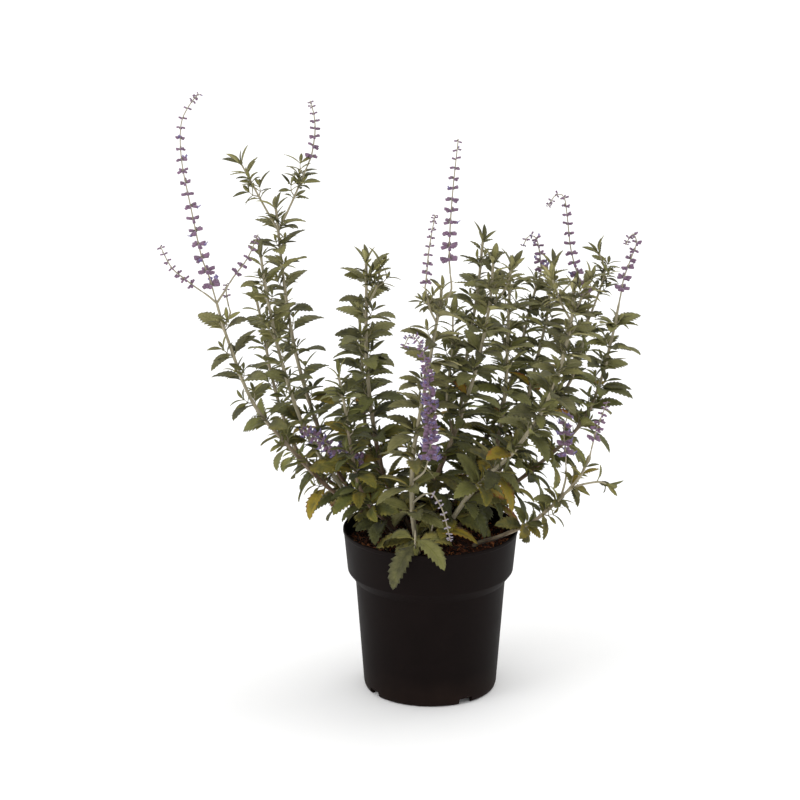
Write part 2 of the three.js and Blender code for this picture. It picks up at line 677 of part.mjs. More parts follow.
function cutterAt(geometry, radius, turn, height) {
  geometry.translate(0, -radius, height);
  geometry.rotateZ(radians(turn));
  return geometryToManifold(geometry);
}

function potSolid() {
  const lip = [[RIM_RADIUS - 0.6, POT_HEIGHT], [RIM_RADIUS - WALL, POT_HEIGHT]];
  const profile = [...OUTSIDE, ...lip, ...INSIDE, [0, FLOOR_THICKNESS]];
  const outline = profile.map(([radius, height]) => new THREE.Vector2(radius, height));
  const turned = new THREE.LatheGeometry(outline, SEGMENTS).rotateX(Math.PI / 2);
  const notches = NOTCH_TURNS.map((turn) => {
    return cutterAt(new THREE.BoxGeometry(NOTCH_WIDTH, 14, 2 * NOTCH_HEIGHT), NOTCH_RING, turn, 0);
  });
  const drains = DRAIN_TURNS.map((turn) => {
    const drain = new THREE.CylinderGeometry(DRAIN_RADIUS, DRAIN_RADIUS, 8, 8);
    return cutterAt(drain.rotateX(Math.PI / 2), DRAIN_RING, turn, FLOOR_UNDERSIDE + WALL / 2);
  });
  return geometryToManifold(turned).subtract(wasm.Manifold.union([...notches, ...drains]));
}

// The soil: a plug that follows the pot's inside, with a crumbly top and the stems' holes
function soilHeight(x, y) {
  const ripple = Math.sin(x * 0.23 + 0.6) + Math.sin(y * 0.29 - x * 0.11) + Math.sin((x + y) * 0.17 + 2);
  return SOIL_LEVEL + SOIL_RIPPLE * ripple;
}

function soilRing(radius, height) {
  return Array.from({ length: SEGMENTS }, (_, i) => {
    const angle = (i * 2 * Math.PI) / SEGMENTS;
    const [x, y] = [radius * Math.cos(angle), radius * Math.sin(angle)];
    return new THREE.Vector3(x, y, height ?? soilHeight(x, y));
  });
}

function soilSolid(holes) {
  const wall = [...INSIDE].reverse().map(([radius, height]) => soilRing(radius - SOIL_GAP, height + 0.35));
  const top = [SOIL_RADIUS, 70, 47, 22].map((radius) => soilRing(radius));
  return skinRings([...wall, ...top]).subtract(wasm.Manifold.union(holes));
}

// The whole plant
const plants = new Map(STEMS.map((stem) => [stem.name, makeShoots(stem)]));
const spikes = SPIKES.map((spike) => makeSpike(spike, plants));
for (const [name, shoots] of plants) {
  for (const shoot of shoots) takeRoute(shoot.route, name, shoot.girth[0] * 0.6);
}
for (const spike of spikes) takeRoute(spike.route, spike.name, spike.reach[0]);

const model = new THREE.Group();

function addPart(name, solid, look) {
  const mesh = new THREE.Mesh(toGeometry(solid), new THREE.MeshStandardMaterial(look));
  mesh.name = name;
  model.add(mesh);
}

addPart('pot', potSolid(), POT_BLACK);
addPart('soil', soilSolid([...plants.values()].map(([main]) => stemHole(main))), SOIL_BROWN);
for (const [name, shoots] of plants) {
  const solids = shoots.map((shoot) => shootSolid(shoot, shoot.length ? growPairs(shoot) : []));
  addPart(name, wasm.Manifold.union(solids), SAGE_GREEN);
}
for (const spike of spikes) addPart(spike.name, spikeSolid(spike), FLOWER_VIOLET);

export default model;
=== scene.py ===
import math

import bpy
import numpy as np
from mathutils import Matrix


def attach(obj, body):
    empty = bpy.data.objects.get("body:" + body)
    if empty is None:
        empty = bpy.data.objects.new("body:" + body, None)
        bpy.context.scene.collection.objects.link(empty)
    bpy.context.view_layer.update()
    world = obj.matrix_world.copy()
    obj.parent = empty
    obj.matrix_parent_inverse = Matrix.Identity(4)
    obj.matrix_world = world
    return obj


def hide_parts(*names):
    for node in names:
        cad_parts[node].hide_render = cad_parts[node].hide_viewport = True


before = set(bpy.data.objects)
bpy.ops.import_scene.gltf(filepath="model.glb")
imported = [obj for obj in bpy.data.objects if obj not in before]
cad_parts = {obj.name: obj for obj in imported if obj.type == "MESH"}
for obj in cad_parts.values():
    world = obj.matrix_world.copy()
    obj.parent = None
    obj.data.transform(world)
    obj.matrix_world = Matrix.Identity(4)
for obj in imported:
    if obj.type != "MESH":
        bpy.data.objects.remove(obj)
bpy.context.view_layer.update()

MM = 0.001

# Sizes that drive the pot
POT_HEIGHT = 182
RIM_RADIUS = 95
COLLAR_RADIUS = 90
COLLAR_FOOT = 135
BODY_TOP = 126
BODY_RADIUS = 81.5
BASE_RADIUS = 72.6
WALL = 1.6
PAD_RADIUS = 42.5
FLOOR_THICKNESS = 1.8
FLOOR_UNDERSIDE = 8.4
NOTCH = (16, 14, 14)
NOTCH_RING = 70
NOTCH_TURNS = (32, 122, 212, 302)
DRAIN_RADIUS = 4.5
DRAIN_RING = 56
DRAIN_TURNS = (77, 167, 257, 347)

# Sizes that drive the soil
SOIL_LEVEL = 166
SOIL_RADIUS = 90.8
SOIL_GAP = 0.5
SOIL_RIPPLE = 1.3

# Sizes that drive the leaves
LEAF_FOLD = 0.28
LEAF_CLEARANCE = 4.4
OWN_CLEARANCE = 2.8
# A leaf's half width as a part of its length grows between these two lengths
BREADTH = (0.15, 0.24)
BREADTH_LENGTHS = (12, 40)
# Room that leaves keep outside the rim, inside it, above it and over the soil
RIM_OUTSIDE, RIM_INSIDE, RIM_ABOVE, SOIL_ROOM = 3, 6, 2.5, 4
# How far chance takes a leaf from the rule, in degrees and then as a part
TURN_SWING, RISE_SWING, ROLL_SWING = (-18, 18), (-10, 10), (-16, 16)
SIZE_SWING, BEND_SWING, SPACING_SWING = (0.84, 1.14), (0.8, 1.2), (0.9, 1.1)

# Blades come in four kinds: large, medium and small toothed ones by their length, and narrow
LARGE_BLADE, MEDIUM_BLADE = 32, 20
NARROW_KIND = 3

# Leafy stems. Routes run from the buried end up to the tip, girth is the width at both ends,
# and the leaves' spacing, length and rise in degrees run from the lowest pair to the highest.
USUAL_SIDE = {"girth": (2.3, 1.5), "spacing": (15, 12), "rise": (25, 45), "twist": 20}
USUAL_STEM = {"girth": (4.6, 2.2), "spacing": (28, 22), "length": (52, 32), "rise": (0, 42), "twist": 45}
STEMS = {
    "stem_left_arch": {
        "girth": (4.6, 2.4), "first": 46, "spacing": (35, 31), "length": (46, 34), "rise": (0, 35),
        "route": [(-42, 18, 148), (-47, 20, 170), (-74, 10, 196), (-114, 0, 230), (-159, -12, 285),
                  (-191, -25, 333), (-216, -40, 409), (-226, -48, 450)],
        "side": [
            {"route": [(-225, -47, 447), (-234, -52, 456), (-242, -56, 463)]},
            {"route": [(-225, -47, 446), (-217, -41, 458), (-211, -37, 467)]},
            {"route": [(-219, -43, 420), (-212, -32, 430), (-214, -30, 440)]},
        ],
    },
    "stem_left_tall": {
        "girth": (4.8, 2.2), "first": 60, "spacing": (28, 24), "length": (52, 34), "rise": (-5, 45),
        "route": [(-35, 40, 148), (-40, 45, 168), (-79, 48, 198), (-107, 54, 238), (-132, 58, 306),
                  (-148, 58, 370), (-158, 55, 439), (-164, 50, 505), (-166, 50, 526)],
        "side": [
            {"route": [(-164, 50, 500), (-152, 46, 525), (-143, 42, 546), (-131, 39, 575)],
             "first": 42, "length": (15, 14)},
            {"route": [(-163, 50, 500), (-181, 54, 531), (-194, 56, 556), (-203, 56, 573)],
             "first": 40, "length": (20, 13)},
        ],
    },
    "stem_left_pale": {
        "girth": (4.4, 2.2), "first": 62, "length": (48, 28), "rise": (0, 50),
        "route": [(-38, 28, 148), (-42, 29, 168), (-77, 22, 195), (-122, 14, 262), (-143, 6, 310),
                  (-162, 0, 378), (-175, -8, 450), (-180, -12, 489)],
    },
    "stem_left_back": {
        "girth": (4.4, 2.2), "first": 70, "length": (48, 28),
        "route": [(-31, 52, 148), (-35, 58, 168), (-94, 64, 200), (-141, 84, 234), (-160, 98, 270),
                  (-175, 110, 320), (-185, 118, 375), (-191, 120, 404)],
    },
    "stem_middle": {
        "girth": (4.8, 2.4), "first": 60, "spacing": (26, 21), "length": (54, 36), "rise": (0, 40),
        "route": [(-20, 32, 148), (-23, 35, 168), (-49, 32, 225), (-62, 24, 291), (-69, 16, 367),
                  (-69, 10, 435), (-69, 6, 478)],
        "side": [
            {"route": [(-69, 11, 425), (-58, 4, 450), (-54, 0, 474)], "first": 26, "length": (20, 14)},
            {"route": [(-50, 31, 228), (-58, 17, 242), (-67, 11, 250)]},
        ],
    },
    "stem_middle_back": {
        "first": 70, "spacing": (28, 24), "length": (50, 32), "rise": (0, 40),
        "route": [(-16, 56, 148), (-18, 60, 168), (-55, 75, 222), (-71, 85, 268), (-75, 92, 343),
                  (-78, 95, 400)],
    },
    "stem_left_short": {
        "girth": (4.2, 2), "first": 56, "spacing": (27, 21), "length": (46, 26), "rise": (-5, 45),
        "route": [(-26, 0, 148), (-29, -1, 168), (-70, -25, 221), (-83, -40, 271), (-91, -50, 330),
                  (-98, -52, 369)],
    },
    "stem_front": {
        "girth": (4.8, 2.4), "first": 36, "spacing": (30, 26), "length": (48, 34), "rise": (-5, 40),
        "route": [(-13, -36, 148), (-14, -42, 168), (-20, -48, 217), (-19, -55, 282), (-8, -60, 350),
                  (1, -62, 405), (9, -62, 452), (10, -62, 466)],
        "side": [
            {"route": [(-14, -43, 174), (-17, -62, 180), (-17, -79, 187), (-17, -83, 207)], "first": 43,
             "spacing": (5, 5), "length": (58, 58), "rise": (8, 8), "bend": 1.5, "twist": 58},
            {"route": [(-14, -43, 178), (-2, -54, 188), (2, -60, 206)], "first": 27,
             "length": (54, 54), "rise": (10, 10), "bend": 1.1, "twist": -40},
            {"route": [(8, -62, 448), (20, -65, 464), (19, -62, 484)]},
            {"route": [(-19, -52, 252), (-8, -66, 266), (-4, -74, 280)]},
            {"route": [(-20, -49, 226), (-8, -62, 240), (-2, -72, 244)]},
            {"route": [(6, -62, 430), (-2, -68, 446), (-6, -74, 466)], "first": 22, "length": (16, 14)},
        ],
    },
    "stem_centre": {
        "first": 60, "length": (50, 32),
        "route": [(-4, 5, 148), (-4, 4, 168), (4, 0, 231), (27, -10, 296), (48, -20, 367),
                  (61, -25, 436), (65, -28, 486)],
        "side": [
            {"route": [(24, -8, 288), (17, -14, 331), (22, -18, 387), (23, -20, 426)], "first": 36,
             "length": (30, 18)},
            {"route": [(61, -25, 437), (76, -22, 452), (85, -20, 477)], "first": 24, "length": (18, 14)},
        ],
    },
    "stem_centre_right": {
        "first": 60,
        "route": [(10, 27, 148), (11, 30, 168), (60, 40, 222), (76, 50, 276), (82, 55, 327),
                  (84, 58, 387), (86, 58, 455)],
    },
    "stem_right_back": {
        "first": 66,
        "route": [(20, 50, 148), (22, 55, 168), (77, 80, 220), (104, 95, 285), (117, 102, 338),
                  (128, 108, 388), (134, 112, 446)],
    },
    "stem_right_front": {
        "girth": (4.8, 2.4), "first": 60, "spacing": (31, 24), "length": (52, 34), "rise": (0, 40),
        "route": [(7, -14, 148), (9, -16, 170), (43, -45, 236), (88, -65, 290), (118, -80, 343),
                  (133, -90, 386), (144, -98, 441), (146, -100, 475)],
        "side": [
            {"route": [(144, -98, 441), (132, -92, 462), (124, -90, 485)], "first": 22,
             "length": (22, 14)},
            {"route": [(145, -98, 446), (155, -104, 470), (162, -108, 490)], "first": 22,
             "length": (22, 14)},
        ],
    },
    "stem_right_arch": {
        "first": 66, "spacing": (28, 23), "length": (52, 34), "rise": (0, 40),
        "route": [(25, 27, 148), (28, 30, 168), (76, 40, 205), (115, 45, 235), (159, 50, 276),
                  (181, 52, 318), (196, 52, 378), (204, 50, 424)],
    },
    "stem_right_low": {
        "first": 84, "spacing": (28, 23), "length": (42, 22), "rise": (-30, 20),
        "route": [(44, -18, 150), (48, -20, 168), (74, -35, 183), (110, -50, 206), (136, -58, 233),
                  (156, -64, 258), (163, -68, 274)],
        "side": [
            {"route": [(160, -66, 266), (166, -71, 281), (169, -74, 296)]},
            {"route": [(138, -59, 236), (143, -57, 256), (143, -55, 272)]},
            {"route": [(142, -60, 241), (154, -70, 252), (176, -80, 260), (186, -84, 258)],
             "first": 40, "length": (10, 10)},
        ],
    },
    "stem_far_right": {
        "first": 84, "spacing": (28, 24), "length": (52, 32), "rise": (0, 40),
        "route": [(14, 58, 148), (16, 64, 168), (38, 84, 196), (60, 102, 214), (112, 130, 250),
                  (155, 145, 299), (174, 150, 361), (176, 150, 392)],
        "side": [
            {"route": [(175, 150, 370), (189, 156, 406), (194, 158, 428), (187, 158, 449)],
             "first": 34, "length": (18, 10)},
        ],
    },
    "stem_back": {
        "first": 64,
        "route": [(-4, 54, 148), (-5, 60, 168), (11, 75, 222), (31, 85, 277), (41, 90, 355),
                  (51, 92, 417), (57, 92, 479)],
    },
    "stem_back_right": {
        "first": 78, "spacing": (28, 24), "length": (50, 30),
        "route": [(3, 70, 148), (4, 76, 168), (45, 108, 214), (78, 126, 276), (99, 136, 337),
                  (112, 140, 393), (121, 140, 424)],
    },
}

# Flower spikes. Each goes on from the end of a stem or side shoot, `reach` is the whorls'
# radius at both ends, `gaps` their spacing, and `open` the share of buds that have opened.
# `fullness` crowds a spike with more and smaller calyxes, `pale` takes the violet out of it.
SPIKES = {
    "spike_left_arch": {
        "from": ("stem_left_arch",), "reach": (8, 3), "gaps": (17, 9), "open": 0.06,
        "route": [(-233, -51, 478), (-240, -55, 500), (-250, -60, 555), (-258, -62, 603),
                  (-258, -60, 640), (-249, -55, 660), (-240, -50, 670)],
    },
    "spike_left_arch_left": {
        "from": ("stem_left_arch", 0), "reach": (5, 3), "gaps": (11, 8),
        "route": [(-255, -62, 475), (-270, -70, 491), (-281, -75, 515)],
    },
    "spike_left_arch_right": {
        "from": ("stem_left_arch", 1), "reach": (5.5, 3), "gaps": (11, 8),
        "route": [(-205, -33, 475), (-193, -25, 490), (-182, -20, 514)],
    },
    "spike_left_arch_inner": {
        "from": ("stem_left_arch", 2), "reach": (4, 2.5), "gaps": (9, 7),
        "route": [(-216, -28, 450), (-216, -27, 462)],
    },
    "spike_left_tall": {
        "from": ("stem_left_tall", 0), "reach": (6, 3), "gaps": (11, 7),
        "route": [(-126, 38, 590), (-123, 37, 612), (-124, 36, 630), (-128, 36, 645)],
    },
    "spike_low_left": {
        "from": ("stem_middle", 1), "reach": (8, 5), "gaps": (11, 9), "open": 0.6,
        "route": [(-87, 2, 263), (-114, -8, 280), (-140, -12, 298)],
    },
    "spike_front_tall": {
        "from": ("stem_front", 2), "reach": (8, 3), "gaps": (14, 9), "open": 0.04,
        "route": [(18, -62, 500), (19, -60, 534), (22, -58, 576), (27, -55, 624)],
    },
    "spike_front_left": {
        "from": ("stem_front", 5), "reach": (5, 3), "gaps": (11, 8),
        "route": [(-6, -76, 480), (-3, -80, 514), (3, -82, 550)],
    },
    "spike_front_dense": {
        "from": ("stem_front", 3), "reach": (10, 4), "gaps": (9, 8), "open": 0.45, "fullness": 0.82,
        "route": [(-1, -80, 305), (-2, -86, 352), (-6, -90, 392), (-12, -92, 414), (-22, -92, 424),
                  (-29, -92, 412)],
    },
    "spike_front_drooping": {
        "from": ("stem_front", 4), "reach": (3.5, 2.5), "gaps": (8, 7), "pale": 0.8,
        "route": [(5, -81, 242), (12, -86, 230), (17, -88, 212), (20, -89, 198)],
    },
    "spike_right_arch": {
        "from": ("stem_right_arch",), "reach": (7.5, 3), "gaps": (13, 8),
        "route": [(208, 48, 449), (215, 44, 472), (220, 40, 490), (215, 38, 500), (208, 36, 488)],
    },
    "spike_right_low": {
        "from": ("stem_right_low", 0), "reach": (7, 3), "gaps": (11, 7),
        "route": [(172, -76, 312), (176, -78, 325), (184, -82, 349)],
    },
    "spike_right_low_inner": {
        "from": ("stem_right_low", 1), "reach": (8, 4), "gaps": (11, 9), "open": 0.5,
        "route": [(142, -53, 290), (141, -50, 310), (149, -45, 337)],
    },
    "spike_far_right": {
        "from": ("stem_far_right",), "reach": (7.5, 3), "gaps": (13, 9), "open": 0.04,
        "route": [(166, 150, 419), (156, 150, 453), (151, 150, 493), (147, 149, 514),
                  (138, 148, 516), (130, 147, 504)],
    },
    "spike_back_right": {
        "from": ("stem_back_right",), "reach": (7, 2.5), "gaps": (10, 7), "open": 0.25,
        "route": [(122, 139, 442), (120, 138, 458), (116, 136, 471), (108, 134, 473),
                  (102, 132, 462)],
    },
}

# Seeded draws place the leaves, so that they come out where the model's leaves are
SEED = 20261
STEP, SHIFT, STATES = 1664525, 1013904223, 4294967296
draw_state = SEED


def draw(low, high):
    """The next seeded number between two ends."""
    global draw_state
    draw_state = (draw_state * STEP + SHIFT) % STATES
    return low + (high - low) * (draw_state / STATES)


def mix(start, end, part):
    return start + (end - start) * part


def smoothstep(value, low, high):
    part = min(max((value - low) / (high - low), 0), 1)
    return part * part * (3 - 2 * part)


def unit(vector):
    return vector / np.linalg.norm(vector)


# Routes
ROUTE_STEPS = 160
ACROSS = np.array((0.0, 1.0, 0.0))


def make_route(points, twist=0):
    """A smooth curve through its points, read by the distance along it."""
    knots = np.array(points, dtype=float)
    padded = np.vstack([2 * knots[0] - knots[1], knots, 2 * knots[-1] - knots[-2]])
    places = []
    for step in range(ROUTE_STEPS + 1):
        whole = (len(knots) - 1) * (step / ROUTE_STEPS)
        i = min(int(whole), len(knots) - 2)
        part = whole - i
        before, start, end, after = padded[i : i + 4]
        leave, arrive = 0.5 * (end - before), 0.5 * (after - start)
        squared = -3 * start + 3 * end - 2 * leave - arrive
        cubed = 2 * start - 2 * end + leave + arrive
        places.append(start + leave * part + squared * part**2 + cubed * part**3)
    places = np.array(places)
    steps = np.linalg.norm(np.diff(places, axis=0), axis=1)
    distances = np.concatenate([[0], np.cumsum(steps)])
    return {"places": places, "distances": distances, "length": distances[-1],
            "twist": math.radians(twist)}


def frame_at(route, distance):
    """The place at a distance along a route, and the ways along it, to its side and to its front."""
    places, distances = route["places"], route["distances"]
    i = int(np.clip(np.searchsorted(distances, distance), 1, ROUTE_STEPS))
    part = (distance - distances[i - 1]) / (distances[i] - distances[i - 1])
    origin = places[i - 1] + (places[i] - places[i - 1]) * part
    along = unit(places[min(i + 1, ROUTE_STEPS)] - places[max(i - 2, 0)])
    level = unit(np.cross(ACROSS, along))
    side = level * math.cos(route["twist"]) + np.cross(along, level) * math.sin(route["twist"])
    return origin, along, side, np.cross(along, side)


def half_width_at(shoot, distance):
    """Half the width of a shoot, which tapers from one end to the other."""
    return mix(*shoot["girth"], distance / shoot["route"]["length"]) / 2


# Leaf blades: a bent midrib with margins raised by a shallow fold
def leaf_points(leaf, part, across):
    """Places on a blade, at parts of its length and at distances across it."""
    angle = leaf["bend"] * part
    rise = np.abs(across) * math.sin(leaf["fold"])
    forward = leaf["length"] * np.sin(angle) / leaf["bend"] + rise * np.sin(angle)
    upward = rise * np.cos(angle) - leaf["length"] * (1 - np.cos(angle)) / leaf["bend"]
    sideways = across * math.cos(leaf["fold"])
    directions = (leaf["out"], leaf["up"], leaf["side"])
    return leaf["base"] + sum(np.outer(a, d) for a, d in zip((forward, upward, sideways), directions))


def make_leaf(shoot, distance, face, turn, rise, roll, length, bend):
    """A leaf on one of the four faces of a shoot, turned, raised and rolled from it in radians."""
    origin, along, side, front = frame_at(shoot["route"], distance)
    square = face * math.pi / 2
    foot = side * math.cos(square) + front * math.sin(square)
    outward = side * math.cos(square + turn) + front * math.sin(square + turn)
    out = outward * math.cos(rise) + along * math.sin(rise)
    level = along * math.cos(rise) - outward * math.sin(rise)
    across = np.cross(level, out)
    return {
        "base": origin + foot * half_width_at(shoot, distance),
        "out": out,
        "up": level * math.cos(roll) + across * math.sin(roll),
        "side": across * math.cos(roll) - level * math.sin(roll),
        "length": length,
        "half_width": length * mix(*BREADTH, smoothstep(length, *BREADTH_LENGTHS)),
        "bend": bend,
        "fold": LEAF_FOLD,
    }


SAMPLE_PARTS = np.repeat([0.3, 0.42, 0.54, 0.66, 0.78, 0.9, 1], 5)
SAMPLE_HANDS = np.tile([-1, -0.5, 0, 0.5, 1], 7)


def leaf_samples(leaf):
    """Places all over a blade but its foot, to test what it comes near."""
    width = leaf["half_width"] * np.sin(np.pi * np.minimum(0.94, SAMPLE_PARTS * 0.86 + 0.08))
    return leaf_points(leaf, SAMPLE_PARTS, SAMPLE_HANDS * width)


# Places already taken, so that a new leaf can stay clear of them
ROUTE_ROOM_STEP = 5
taken = {"points": [], "owners": [], "radii": []}


def take(points, owner, radius):
    """Takes places for a stem or spike, each with the room it needs."""
    taken["points"].extend(points)
    taken["owners"].extend([owner] * len(points))
    taken["radii"].extend([radius] * len(points))


def take_route(route, owner, radius):
    """Takes the room round a route."""
    steps = np.arange(0, route["length"], ROUTE_ROOM_STEP)
    take([frame_at(route, distance)[0] for distance in steps], owner, radius)


def clears_pot(points):
    """Whether a leaf keeps clear of the rim, the pot and the soil."""
    radius, height = np.hypot(points[:, 0], points[:, 1]), points[:, 2]
    outside = (radius > RIM_RADIUS + RIM_OUTSIDE) | (height > POT_HEIGHT + RIM_ABOVE)
    inside = (radius < RIM_RADIUS - RIM_INSIDE) & (height > SOIL_LEVEL + SOIL_ROOM)
    return (outside | inside).all()


# Ways to bend a leaf clear of what is near: turn and rise in degrees, then a smaller leaf
BENDS = [(0, 0), (16, 0), (-16, 0), (0, 18), (0, -18), (28, 14), (-28, 14), (28, -18), (-28, -18),
         (0, 36), (42, 26), (-42, 26), (0, -34)]
SHRINKS = (1, 0.72)
# Nothing that stands further than this beyond a leaf's reach can come near it
MOST_ROOM = 20


def place_leaf(shoot, distance, face, turn, rise, length, bend):
    """The first way to bend or shrink a leaf that clears what is near, or no leaf at all."""
    roll = math.radians(draw(*ROLL_SWING))
    centre = frame_at(shoot["route"], distance)[0]
    points, radii = np.array(taken["points"]), np.array(taken["radii"])
    own = np.array(taken["owners"]) == shoot["owner"]
    limits = np.where(own, OWN_CLEARANCE, LEAF_CLEARANCE) + radii
    near = (np.abs(points - centre) < length * 1.15 + MOST_ROOM).all(axis=1)
    points, limits = points[near], limits[near]
    for shrink in SHRINKS:
        for turn_by, rise_by in BENDS:
            turned, risen = turn + math.radians(turn_by), rise + math.radians(rise_by)
            leaf = make_leaf(shoot, distance, face, turned, risen, roll, length * shrink, bend)
            samples = leaf_samples(leaf)
            gaps = np.linalg.norm(samples[:, None] - points[None], axis=2)
            if clears_pot(samples) and (gaps > limits).all():
                take(list(samples), shoot["owner"], 0)
                return leaf
    return None


# How far blades bend along their length, in radians, at a stem's foot, at its top and in the tuft
USUAL_BEND = (1, 0.6)
TUFT_BEND = 0.45
# The tuft's pairs: distance back from the tip, leaf length and rise in degrees
TUFT = ((12, 20, 40), (3, 14, 60))
TUFT_ROOM = 24
BARE_END = 9


def grow_pairs(shoot):
    """Opposite pairs, each at right angles to the pair below, and a tuft of leaves on top."""
    pairs = []
    total = shoot["route"]["length"]

    # The order of the draws is the model's: a leaf's turn, rise, size, bend and roll
    def grow_pair(distance, size, lift, bend):
        leaves = {}
        for face in (1, 3) if len(pairs) % 2 else (0, 2):
            turn = math.radians(draw(*TURN_SWING))
            risen = math.radians(lift + draw(*RISE_SWING))
            sized = size * draw(*SIZE_SWING)
            bent = bend * draw(*BEND_SWING)
            leaves[face] = place_leaf(shoot, distance, face, turn, risen, sized, bent)
        pairs.append((distance, leaves))

    distance = shoot["first"]
    while distance < total - (TUFT_ROOM if shoot["tuft"] else BARE_END):
        part = distance / total
        bend = shoot.get("bend") or mix(*USUAL_BEND, part)
        grow_pair(distance, mix(*shoot["length"], part), mix(*shoot["rise"], part), bend)
        distance += mix(*shoot["spacing"], part) * draw(*SPACING_SWING)
    for back, size, lift in TUFT if shoot["tuft"] else ():
        grow_pair(total - back, size, lift, TUFT_BEND)
    return pairs


def continues(*carrier):
    """Whether a spike goes on from the end of a stem or of its side shoot."""
    return any(spike["from"] == carrier for spike in SPIKES.values())


def make_shoots(name, stem):
    """A stem and its side shoots, which start at the nearest place on it."""
    habit = {**USUAL_STEM, **stem}
    route = make_route(stem["route"], habit["twist"])
    main = {**habit, "route": route, "owner": name, "tuft": not continues(name)}
    shoots = [main]
    for number, side in enumerate(stem.get("side", ())):
        away = np.linalg.norm(route["places"] - np.array(side["route"][0]), axis=1)
        root = route["places"][int(np.argmin(away))]
        leafy = "length" in side and "bend" not in side
        ways = {**USUAL_SIDE, **side}
        shoots.append({
            **ways, "route": make_route([root, *side["route"][1:]], ways["twist"]), "owner": name,
            "tuft": leafy and not continues(name, number),
        })
    return shoots


# A spike goes on from its stem's end after a small gap, straight at first
START_GAP = 0.3
STRAIGHT_START = 6


def make_spike(spike, plants):
    """A spike's route, on from its carrier's end, and the places of its whorls."""
    stem, *numbers = spike["from"]
    carrier = plants[stem][numbers[0] + 1 if numbers else 0]["route"]
    end, along, _, _ = frame_at(carrier, carrier["length"])
    route = make_route([end + along * START_GAP, end + along * STRAIGHT_START, *spike["route"]])
    whorls = []
    distance = spike["gaps"][0]
    while distance < route["length"] - 1:
        part = distance / route["length"]
        whorls.append((distance, mix(*spike["reach"], part)))
        distance += mix(*spike["gaps"], part)
    return {**spike, "route": route, "whorls": whorls}


# The room round a shoot as a part of its girth, for leaves to stay clear of
SHOOT_ROOM = 0.6
plants = {name: make_shoots(name, stem) for name, stem in STEMS.items()}
spikes = {name: make_spike(spike, plants) for name, spike in SPIKES.items()}
for name, shoots in plants.items():
    for shoot in shoots:
        take_route(shoot["route"], name, shoot["girth"][0] * SHOOT_ROOM)
for name, spike in spikes.items():
    take_route(spike["route"], name, spike["reach"][0])
for shoots in plants.values():
    for shoot in shoots:
        shoot["pairs"] = grow_pairs(shoot) if "length" in shoot else []

# Small leaves in the axils, which the model leaves out: toothed ones everywhere, sprigs on the
# younger nodes and narrow pairs on the older ones. They come from their own seeded draws, after
# the main leaves are placed. Turns, rises and rolls are degrees, and a breadth is the half width
# as a part of the length.
chance = np.random.default_rng(41)
NARROW_LEAF = {"roll": (-35, 35), "bend": (0.3, 0.9), "breadth": (0.11, 0.16)}
NARROW_PAIR = {"turn": 38, "rise": (20, 50), "length": (13, 22)}
TIP_LEAF = {"back": 1.2, "turn": (20, 60), "rise": (45, 78), "length": (15, 25)}
AXIL_LEAF = {"up": 1.5, "turn": (25, 65), "rise": (15, 50), "roll": (-30, 30), "bend": (0.5, 1.2),
             "breadth": (0.21, 0.26), "share": (0.6, 0.95)}
# Axil leaves stop this far short of a stem's end, and a sprig or a narrow pair sits above them
AXILS_END = 14
SPRIG_UP = 2.4
SPRIG_FROM = 0.3
SPRIG_SHARE = 0.8
SPRIG = {"girth": (1.3, 0.8), "turn": (-20, 20), "reach": (6, 14)}
SPRIG_PAIR = {"rise": (25, 45), "length": (10, 16)}
SPRIG_TIP = {"turn": (-15, 15), "rise": (35, 65), "length": (13, 21)}
# The share of a stem's axil leaves that have grown
USUAL_LUSHNESS = 0.95
LUSHNESS = {"stem_left_arch": 0.1, "stem_left_tall": 0.2, "stem_left_pale": 0.15, "stem_left_back": 0.15,
            "stem_middle": 0.7}


def narrow_leaf(shoot, distance, face, turn, rise, length):
    """A slender untoothed leaf, as at the tips and on the sprigs."""
    angles = [math.radians(angle) for angle in (turn, rise, chance.uniform(*NARROW_LEAF["roll"]))]
    leaf = make_leaf(shoot, distance, face, *angles, length, chance.uniform(*NARROW_LEAF["bend"]))
    return {**leaf, "half_width": length * chance.uniform(*NARROW_LEAF["breadth"]), "kind": NARROW_KIND}


def axil_leaf(shoot, distance, face, side, size):
    """A small toothed leaf on one side of a main leaf's foot."""
    turn, rise, roll = (
        math.radians(chance.uniform(*AXIL_LEAF[way])) for way in ("turn", "rise", "roll"))
    bend = chance.uniform(*AXIL_LEAF["bend"])
    leaf = make_leaf(shoot, distance, face, turn * side, rise, roll, size, bend)
    return {**leaf, "half_width": size * chance.uniform(*AXIL_LEAF["breadth"])}


def grow_sprig(shoot, distance, face, part):
    """A short shoot that leans out of an axil: one pair of leaves halfway and four at the tip."""
    origin, along, side, front = frame_at(shoot["route"], distance)
    turn = face * math.pi / 2 + math.radians(chance.uniform(*SPRIG["turn"]))
    outward = side * math.cos(turn) + front * math.sin(turn)
    half = chance.uniform(*SPRIG["reach"]) * mix(0.8, 1.2, part) * 0.55
    start = origin + outward * half_width_at(shoot, distance) * 0.5
    middle = start + (outward * 0.75 + along * 0.65) * half
    route = make_route([start, middle, middle + (outward * 0.35 + along * 0.93) * half])
    sprig = {"girth": SPRIG["girth"], "route": route, "owner": shoot["owner"]}
    total = route["length"]
    leaves = []
    for face in (0, 2):
        rise, length = chance.uniform(*SPRIG_PAIR["rise"]), chance.uniform(*SPRIG_PAIR["length"])
        leaves.append(narrow_leaf(sprig, total * 0.5, face, 0, rise, length))
    for face in (0, 1, 2, 3):
        length = chance.uniform(*SPRIG_TIP["length"]) * (0.7 if face % 2 else 1)
        turn, rise = chance.uniform(*SPRIG_TIP["turn"]), chance.uniform(*SPRIG_TIP["rise"])
        leaves.append(narrow_leaf(sprig, total - 1, face, turn, rise, length))
    return {**sprig, "pairs": [], "extras": leaves}


